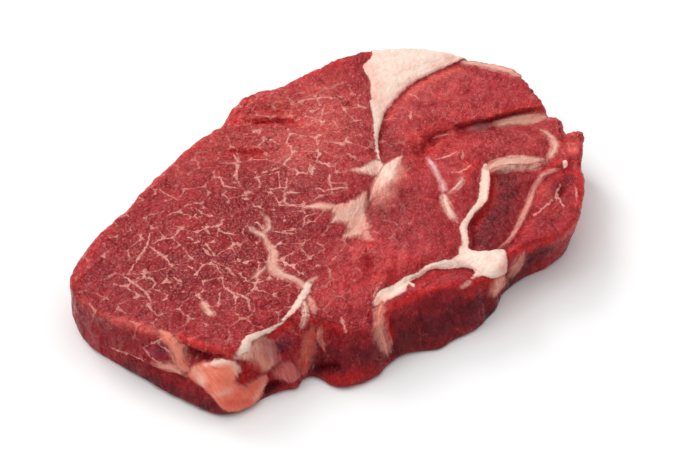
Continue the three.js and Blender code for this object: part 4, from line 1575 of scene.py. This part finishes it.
def vein_group() -> bpy.types.NodeTree:
    """Make the veins whose middle lines are marked on the steak.

    Returns:
        A group that turns a place, the way to a vein with half its width as the third number, and
        the distance to the vein into a mask.
    """
    middle, wander = (0.5, 0.5, 0.5), (1.6, 1.6, 0)
    swell_most, swell_least = 3.0, -0.6
    outside, within = 0.3, -0.14
    too_far, near_enough = 1.6, 0.9
    graph, given, result = add_group(
        "vein", {"Place": "Vector", "Way": "Vector", "Distance": "Float"}, {"Mask": "Float"}
    )
    push = graph.vector("SUBTRACT", graph.clouds(given["Place"], Clouds(1.7, rough=0.5), "Color"), middle)
    kept = graph.vector("MULTIPLY", given["Way"], (1, 1, 0))
    off = graph.vector("LENGTH", graph.vector("ADD", kept, graph.vector("MULTIPLY", push, wander)))
    width = graph.add("SeparateXYZ", {}, Vector=given["Way"]).outputs["Z"]
    uneven = graph.clouds(given["Place"], Clouds(1.9, rough=0.5))
    swell = graph.math("MULTIPLY_ADD", uneven, swell_most, swell_least)
    beyond = graph.math("SUBTRACT", off, graph.product(width, swell))
    line = graph.step(beyond, outside, within)
    graph.feed(result["Mask"], graph.product(line, graph.step(given["Distance"], too_far, near_enough)))
    return graph.tree


def bundle_group() -> bpy.types.NodeTree:
    """Make the bundles of fibres that a cut across muscle shows.

    Returns:
        A group that turns a place and a size into a tint for each bundle, the gaps between
        them and the swell of each one.
    """
    tint_range, darkest = 0.3, 0.84
    gap_outside, gap_within, swell_end = 0.22, 0.02, 0.6
    graph, given, result = add_group(
        "bundles", {"Place": "Vector", "Size": "Float"}, {"Tint": "Float", "Gap": "Float", "Swell": "Float"}
    )
    swayed = sway(graph, given["Place"], Clouds(1.4), 1.5)
    scale = graph.math("DIVIDE", 1.0, given["Size"])
    body, rim = (
        graph.add("TexVoronoi", {"feature": feature}, Vector=swayed, Scale=scale).outputs
        for feature in ("F1", "DISTANCE_TO_EDGE")
    )
    away = graph.product(rim["Distance"], given["Size"])
    share = graph.add("SeparateColor", {}, Color=body["Color"]).outputs[0]
    graph.feed(result["Tint"], graph.math("MULTIPLY_ADD", share, tint_range, darkest))
    graph.feed(result["Gap"], graph.step(away, gap_outside, gap_within))
    graph.feed(result["Swell"], graph.step(away, 0.0, swell_end))
    return graph.tree


@dataclass(frozen=True)
class FleshFinish:
    """Raw flesh: moist muscle with marbling, and the fat and skins between the muscles."""

    name: str = "raw_flesh"
    lean_roughness: float = 0.17
    fat_roughness: float = 0.28
    wet: Clouds = Clouds(1.8, rough=0.5)
    wet_range: float = 0.2
    specular: float = 0.2
    hollow_dullness: float = 0.8
    wall_dullness: float = 0.5
    glow: float = 0.2
    glow_depth: float = 0.0014
    glow_spread: Ratios = (1.0, 0.35, 0.25)

    # The muscle, from its slow changes to its finest.
    blotches: Mottle = Mottle(Clouds(9, 3), (
        Shade(0.5, 0.68, (0.88, 0.66, 0.73)), Shade(0.5, 0.32, (1.14, 1.2, 1.12)),
    ))
    clumps: Mottle = Mottle(Clouds(4.2, 2, 0.5, (1, 1, 0.5)), (
        Shade(0.5, 0.32, (0.88, 0.64, 0.7)), Shade(0.52, 0.7, (1.12, 1.5, 1.42)),
    ))
    wall_calm: float = 0.65
    bundle_size: float = 2.1
    bundle_squeeze: Ratios = (1, 1, 0.3)
    gap_clouds: Clouds = Clouds(3.4)
    dark_gaps: Shade = Shade(0.52, 0.34, (0.66, 0.42, 0.48))
    gap_depth: tuple[float, float] = (0.3, 0.25)
    pale_gaps: tuple[float, float] = (0.52, 0.66)
    pale_gap_depth: float = 0.3
    grain: Mottle = Mottle(Clouds(0.8), (
        Shade(0.46, 0.3, (0.88, 0.8, 0.83)), Shade(0.54, 0.7, (1.14, 1.6, 1.54)),
    ))
    # Short pale strokes: partly pale fibres, partly painted glints of the wet surface.
    stroke_headings: tuple[int, ...] = (20, 75, 130)
    stroke_shift: float = 40.0
    stroke_clouds: Clouds = Clouds(0.75, 1, 0.5, (0.26, 1, 0.7))
    pale_strokes_and_glints: Shade = Shade(0.56, 0.72, (1.12, 2.3, 2.1))
    stroke_regions: tuple[float, float] = (0.46, 0.6)
    stroke_depth: tuple[float, float] = (0.5, 0.24)
    wall_stroke_loss: float = 0.6
    wisp_heading: float = 45
    wisp_clouds: Clouds = Clouds(0.9, 3, 0.65, (0.13, 1, 1))
    light_wisps: tuple[float, float] = (0.51, 0.62)
    dark_wisps: Shade = Shade(0.49, 0.38, (0.78, 0.4, 0.44))
    wisp_depth: float = 0.7
    wall_streaks: Mottle = Mottle(Clouds(1.2, 3, 0.6, (1, 1, 0.16)), (Shade(0.5, 0.35, (0.72, 0.5, 0.52)),))
    wall_streak_depth: float = 0.3
    # Painted shade in the cracks, creases and strand troughs.
    hollow_tint: Colour = (0.6, 0.26, 0.28)
    hollow_depth: float = 0.7

    # The marbling: a faint net, specks that are partly fine fat flecks and partly painted glints, and the
    # grown veins.
    web_cell: float = 2.6
    web_width: float = 0.24
    web_broken: float = 0.46
    web_strength: float = 0.5
    speck_clouds: Clouds = Clouds(0.85)
    specks_and_glints: tuple[float, float] = (0.56, 0.68)
    fine_strength: float = 0.6
    regions: Clouds = Clouds(5)
    net_shown: tuple[float, float] = (0.34, 0.5)
    fray_clouds: Clouds = Clouds(0.9)
    frayed: tuple[float, float] = (0.36, 0.56)
    fray_depth: tuple[float, float] = (0.5, 0.5)
    net_strength: float = 0.88
    vein_strength: float = 0.95

    # The fat and the skins.
    fat_mottle: Mottle = Mottle(Clouds(3.5, 3), (
        Shade(0.5, 0.72, (0.97, 0.84, 0.81)), Shade(0.48, 0.28, (1.03, 1.1, 1.1)),
    ))
    fat_streaks: tuple[Shade, ...] = (
        Shade(0.5, 0.66, (0.93, 0.74, 0.71)), Shade(0.46, 0.32, (1.04, 1.14, 1.16)),
    )
    streaked_from: tuple[float, float] = (0.0, 1.2)
    rosy_edge: tuple[float, float] = (-1.4, 0.4)
    rosy_strength: float = 0.5
    strand_squeeze: Ratios = (1, 0.12, 1)
    strand_clouds: Clouds = Clouds(0.9, 3)
    strand_fray: float = 2.8
    fray: Clouds = Clouds(2.2, 3)
    fray_reach: tuple[float, float] = (1.6, 1.0)
    nicks: Clouds = Clouds(0.8)
    nick_reach: tuple[float, float] = (0.5, 0.4)
    blur: float = 1.5
    veil: Clouds = Clouds(2.2, rough=0.5)
    veil_gaps: tuple[float, float] = (0.36, 0.64)

    # The bumps.
    fibre_ends: float = 0.42
    bundle_swell: float = 0.3
    swells: Clouds = Clouds(2.0)
    swell_height: float = 2.0
    fat_smoothness: float = 0.6
    bump_strength: float = 0.9
    bump_height: float = 0.7 * MM

    def build(self) -> bpy.types.Material:
        """Make the material.

        Returns:
            A material that reads the markings of the steak.
        """
        material = bpy.data.materials.new(self.name)
        material.use_nodes = True
        tree = material.node_tree
        tree.nodes.clear()
        graph = Graph(tree)
        place = graph.vector("SCALE", graph.add("TexCoord").outputs["Object"], 1 / MM)
        masks = self.masks(graph, place)
        # Less shine where the painted crease shade lies.
        shine = graph.product(graph.less(masks["hollow"], self.hollow_dullness), self.specular)
        shine = graph.product(shine, graph.less(masks["wall"], self.wall_dullness))
        shader = graph.add(
            "BsdfPrincipled", {"subsurface_method": "RANDOM_WALK"},
            Base_Color=self.colour(graph, place, masks), Roughness=self.roughness(graph, place, masks),
            Normal=self.bumps(graph, place, masks), Specular_IOR_Level=shine,
            Subsurface_Weight=self.glow, Subsurface_Scale=self.glow_depth,
            Subsurface_Radius=Vector(self.glow_spread),
        )
        graph.feed(graph.add("OutputMaterial").inputs["Surface"], shader.outputs["BSDF"])
        return material

    def masks(self, graph: Graph, place: bpy.types.NodeSocket) -> Masks:
        """Read the markings and roughen their edges.

        Args:
            graph: the material's tree.
            place: the point, in millimetres.

        Returns:
            Masks by name, 0 to 1.
        """

        def read(name: str, output: str) -> bpy.types.NodeSocket:
            """Read a marking."""
            return graph.add("Attribute", {"attribute_name": name}).outputs[output]

        def centred(source: bpy.types.NodeSocket) -> bpy.types.NodeSocket:
            """Clouds, with their middle at 0."""
            return graph.math("SUBTRACT", source, 0.5)

        soft = read("fat_soft", "Fac")
        drawn_out = graph.vector("MULTIPLY", read("flow", "Vector"), self.strand_squeeze)
        strands = graph.clouds(drawn_out, self.strand_clouds)
        edge = read("fat_edge", "Fac")
        for clouds, (more, least) in ((self.fray, self.fray_reach), (self.nicks, self.nick_reach)):
            reach = graph.math("MULTIPLY_ADD", soft, more, least)
            edge = graph.math("MULTIPLY_ADD", centred(graph.clouds(place, clouds)), reach, edge)
        edge = graph.math("MULTIPLY_ADD", centred(strands), graph.product(soft, self.strand_fray), edge)
        blur = graph.product(soft, self.blur)
        solid = graph.step(edge, blur, graph.product(blur, -1.0))
        thin = graph.math("SUBTRACT", 1.0, read("fat", "Alpha"))
        shown = graph.product(graph.step(graph.clouds(drawn_out, self.veil), *self.veil_gaps), thin)
        fat = graph.product(solid, graph.math("SUBTRACT", 1.0, shown))

        group = vein_group()
        vein, net = (
            graph.add("Group", {"node_tree": group}, Place=place, Way=read(name, "Vector"),
                      Distance=read(name + "_edge", "Fac")).outputs[0]
            for name in ("vein", "net")
        )
        grain = graph.add("SeparateXYZ", {}, Vector=read("grain", "Vector")).outputs
        squat = graph.vector("MULTIPLY", place, self.bundle_squeeze)
        group = bundle_group()
        bundles = graph.add("Group", {"node_tree": group}, Place=squat, Size=self.bundle_size).outputs
        return {
            "lean": read("lean", "Color"), "hollow": read("lean", "Alpha"),
            "fat_tint": read("fat", "Color"),
            "fat": fat, "vein": vein, "net": net, "edge": edge, "strands": strands, "soft": soft,
            "wall": grain["X"], "strand": grain["Y"], "marbled": grain["Z"],
            "tint": bundles["Tint"], "gap": bundles["Gap"], "swell": bundles["Swell"],
        }

    def colour(self, graph: Graph, place: bpy.types.NodeSocket, masks: Masks) -> bpy.types.NodeSocket:
        """Colour the muscle, its marbling and the fat.

        Args:
            graph: the material's tree.
            place: the point, in millimetres.
            masks: the markings.

        Returns:
            The colour.
        """
        lean = self.muscle(graph, place, masks)
        lean = self.marbling(graph, place, masks, lean)
        fat = graph.mottle(masks["fat_tint"], place, self.fat_mottle)
        streaked = graph.step(masks["soft"], *self.streaked_from)
        for shade in self.fat_streaks:
            fat = graph.shade(fat, masks["strands"], shade, streaked)
        rosy = graph.step(masks["edge"], *self.rosy_edge)
        fat = graph.cover(fat, Tissue.PINK_FAT, rosy, self.rosy_strength)
        return graph.mix(masks["fat"], lean, fat)

    def muscle(self, graph: Graph, place: bpy.types.NodeSocket, masks: Masks) -> bpy.types.NodeSocket:
        """Colour the muscle: slow blotches, bundles, the gaps between them, fibres and fine grain, pale
        strokes that are partly painted glints, and painted shade in the cracks, creases and strand troughs.
        """
        calm = graph.less(masks["wall"], self.wall_calm)
        lean = graph.mottle(masks["lean"], place, self.blotches, calm)
        lean = graph.mottle(lean, place, self.clumps, calm)
        lean = graph.mix(1.0, lean, masks["tint"], "MULTIPLY")
        gate = graph.clouds(place, self.gap_clouds)
        depth = graph.math("MULTIPLY_ADD", masks["marbled"], *self.gap_depth)
        lean = graph.shade(lean, gate, self.dark_gaps, masks["gap"], depth)
        pale = graph.step(gate, *self.pale_gaps)
        lean = graph.cover(lean, Tissue.PALE_LEAN, masks["gap"], pale, self.pale_gap_depth)
        lean = graph.mottle(lean, place, self.grain)
        seen = graph.math("MULTIPLY_ADD", masks["marbled"], *self.stroke_depth)
        seen = graph.product(seen, graph.less(masks["wall"], self.wall_stroke_loss))
        # Short pale strokes, partly painted glints of the wet surface.
        for number, heading in enumerate(self.stroke_headings):
            apart = graph.vector("ADD", place, (self.stroke_shift * number, 0, 0))
            pale_strokes_and_glints = graph.clouds(self.spun(graph, apart, heading), self.stroke_clouds)
            region = graph.step(graph.clouds(apart, self.regions), *self.stroke_regions)
            lean = graph.shade(lean, pale_strokes_and_glints, self.pale_strokes_and_glints, region, seen)
        wisps = graph.clouds(self.spun(graph, place, self.wisp_heading), self.wisp_clouds)
        light = graph.step(wisps, *self.light_wisps)
        lean = graph.cover(lean, Tissue.PALE_LEAN, light, masks["strand"], self.wisp_depth)
        lean = graph.shade(lean, wisps, self.dark_wisps, masks["strand"], self.wisp_depth)
        lean = graph.mottle(lean, place, self.wall_streaks, masks["wall"], self.wall_streak_depth)
        # Painted shade in the cracks, creases and strand troughs.
        return graph.tint(lean, self.hollow_tint, masks["hollow"], self.hollow_depth)

    @staticmethod
    def spun(graph: Graph, place: bpy.types.NodeSocket, heading: float) -> bpy.types.NodeSocket:
        """A place turned about the upright axis, by a heading in degrees."""
        angle = math.radians(heading)
        return graph.add("VectorRotate", {"rotation_type": "Z_AXIS"}, Vector=place, Angle=angle).outputs[0]

    def marbling(
        self, graph: Graph, place: bpy.types.NodeSocket, masks: Masks, lean: bpy.types.NodeSocket
    ) -> bpy.types.NodeSocket:
        """Lay the pale veins over the muscle: a faint net, small specks that are partly painted glints, and
        the grown veins.
        """
        web = graph.add(
            "Group", {"node_tree": marbling_group()}, Place=place, Cell=self.web_cell, Width=self.web_width,
            Broken=self.web_broken,
        ).outputs[0]
        # Specks: partly fine fat flecks, partly painted glints of the wet surface.
        specks_and_glints = graph.step(graph.clouds(place, self.speck_clouds), *self.specks_and_glints)
        fine = graph.math("MAXIMUM", graph.product(web, self.web_strength), specks_and_glints)
        fine = graph.product(fine, masks["marbled"], self.fine_strength)
        pale = graph.mix(self.fine_strength, masks["lean"], rgba(Tissue.PINK_FAT))
        lean = graph.mix(fine, lean, pale)
        shown = graph.step(graph.clouds(place, self.regions), *self.net_shown)
        frayed = graph.step(graph.clouds(place, self.fray_clouds), *self.frayed)
        frayed = graph.math("MULTIPLY_ADD", frayed, *self.fray_depth)
        coarse = (masks["net"], shown, masks["marbled"], frayed, self.net_strength)
        lean = graph.cover(lean, Tissue.PINK_FAT, *coarse)
        return graph.cover(lean, Tissue.PINK_FAT, masks["vein"], frayed, self.vein_strength)

    def roughness(self, graph: Graph, place: bpy.types.NodeSocket, masks: Masks) -> bpy.types.NodeSocket:
        """Wet and dry patches, with the fat a little duller."""
        spread = self.fat_roughness - self.lean_roughness
        base = graph.math("MULTIPLY_ADD", masks["fat"], spread, self.lean_roughness)
        patches = graph.math("SUBTRACT", graph.clouds(place, self.wet), 0.5)
        return graph.math("MULTIPLY_ADD", patches, self.wet_range, base)

    def bumps(self, graph: Graph, place: bpy.types.NodeSocket, masks: Masks) -> bpy.types.NodeSocket:
        """The swell of the bundles and the finest grain of the cut fibres."""
        ends = graph.product(graph.clouds(place, self.grain.clouds), self.fibre_ends)
        height = graph.math("MULTIPLY_ADD", masks["swell"], self.bundle_swell, ends)
        height = graph.math("MULTIPLY_ADD", graph.clouds(place, self.swells), self.swell_height, height)
        height = graph.product(height, graph.less(masks["fat"], self.fat_smoothness))
        bump = graph.add("Bump", {}, Strength=self.bump_strength, Distance=self.bump_height, Height=height)
        return bump.outputs["Normal"]


# ---------------------------------------------------------------------------------------------
# The studio
# ---------------------------------------------------------------------------------------------


@dataclass(frozen=True)
class Lamp:
    """A soft light from one side, the same all over the floor."""

    name: str
    toward: tuple[float, float, float]
    softness: float
    strength: float


@dataclass(frozen=True)
class Studio:
    """A plain pale floor, soft lights and the camera."""

    floor_size: float = 6.0
    floor_tint: tuple[int, int, int] = (246, 246, 246)
    floor_roughness: float = 0.9
    floor_specular: float = 0.1
    sky: float = 0.42
    distance: float = 0.9
    lens: float = 125.15
    sensor: float = 36.0
    aim: tuple[float, float, float] = (-0.00185, -0.0060, 0.011)
    toward: tuple[float, float, float] = (-0.5255, -0.5255, 0.6691)
    lamps: tuple[Lamp, ...] = (
        Lamp("window", (-0.5, 0.62, 1.0), 45.0, 0.62),
        Lamp("back", (0.12, 0.93, 0.72), 24.0, 1.15),
        Lamp("overhead", (0.0, 0.0, 1.0), 80.0, 1.2),
    )

    def build(self) -> None:
        """Set up the floor, the lights and the camera."""
        self.add_floor()
        self.add_sky()
        for lamp in self.lamps:
            self.add_lamp(lamp)
        self.add_camera()
        bpy.context.scene.view_settings.view_transform = "Standard"

    def add_floor(self) -> None:
        """Lay the floor that the steak rests on."""
        bpy.ops.object.select_all(action="DESELECT")
        bpy.ops.mesh.primitive_plane_add(size=self.floor_size)
        floor = bpy.context.active_object
        floor.name = "floor"
        material = bpy.data.materials.new("pale_floor")
        material.use_nodes = True
        shader = material.node_tree.nodes["Principled BSDF"]
        shader.inputs["Base Color"].default_value = (*linear(self.floor_tint), 1)
        shader.inputs["Roughness"].default_value = self.floor_roughness
        shader.inputs["Specular IOR Level"].default_value = self.floor_specular
        floor.data.materials.append(material)

    def add_sky(self) -> None:
        """Light the room evenly from all round."""
        world = bpy.data.worlds.new("studio")
        world.use_nodes = True
        inputs = world.node_tree.nodes["Background"].inputs
        inputs["Color"].default_value = (1, 1, 1, 1)
        inputs["Strength"].default_value = self.sky
        bpy.context.scene.world = world

    @staticmethod
    def add_lamp(lamp: Lamp) -> None:
        """Hang a soft light that faces the steak."""
        light = bpy.data.lights.new(lamp.name, "SUN")
        light.energy = lamp.strength
        light.angle = math.radians(lamp.softness)
        holder = bpy.data.objects.new(lamp.name, light)
        holder.location = lamp.toward
        holder.rotation_euler = Vector(lamp.toward).to_track_quat("Z", "Y").to_euler()
        bpy.context.scene.collection.objects.link(holder)

    def add_camera(self) -> None:
        """Point the camera down at the steak from its front left."""
        view = bpy.data.cameras.new("camera")
        view.lens = self.lens
        view.sensor_width = self.sensor
        holder = bpy.data.objects.new("camera", view)
        toward = Vector(self.toward)
        holder.location = Vector(self.aim) + self.distance * toward
        holder.rotation_euler = toward.to_track_quat("Z", "Y").to_euler()
        bpy.context.scene.collection.objects.link(holder)
        bpy.context.scene.camera = holder


def main() -> None:
    """Build the steak and its studio."""
    logging.basicConfig(level=logging.INFO, format="%(message)s")
    piece = Steak().build()
    piece.data.materials.append(FleshFinish().build())
    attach(piece, BODY)
    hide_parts(NODE)
    Studio().build()
    log.info("sizes written")


if __name__ == "__main__":
    main()
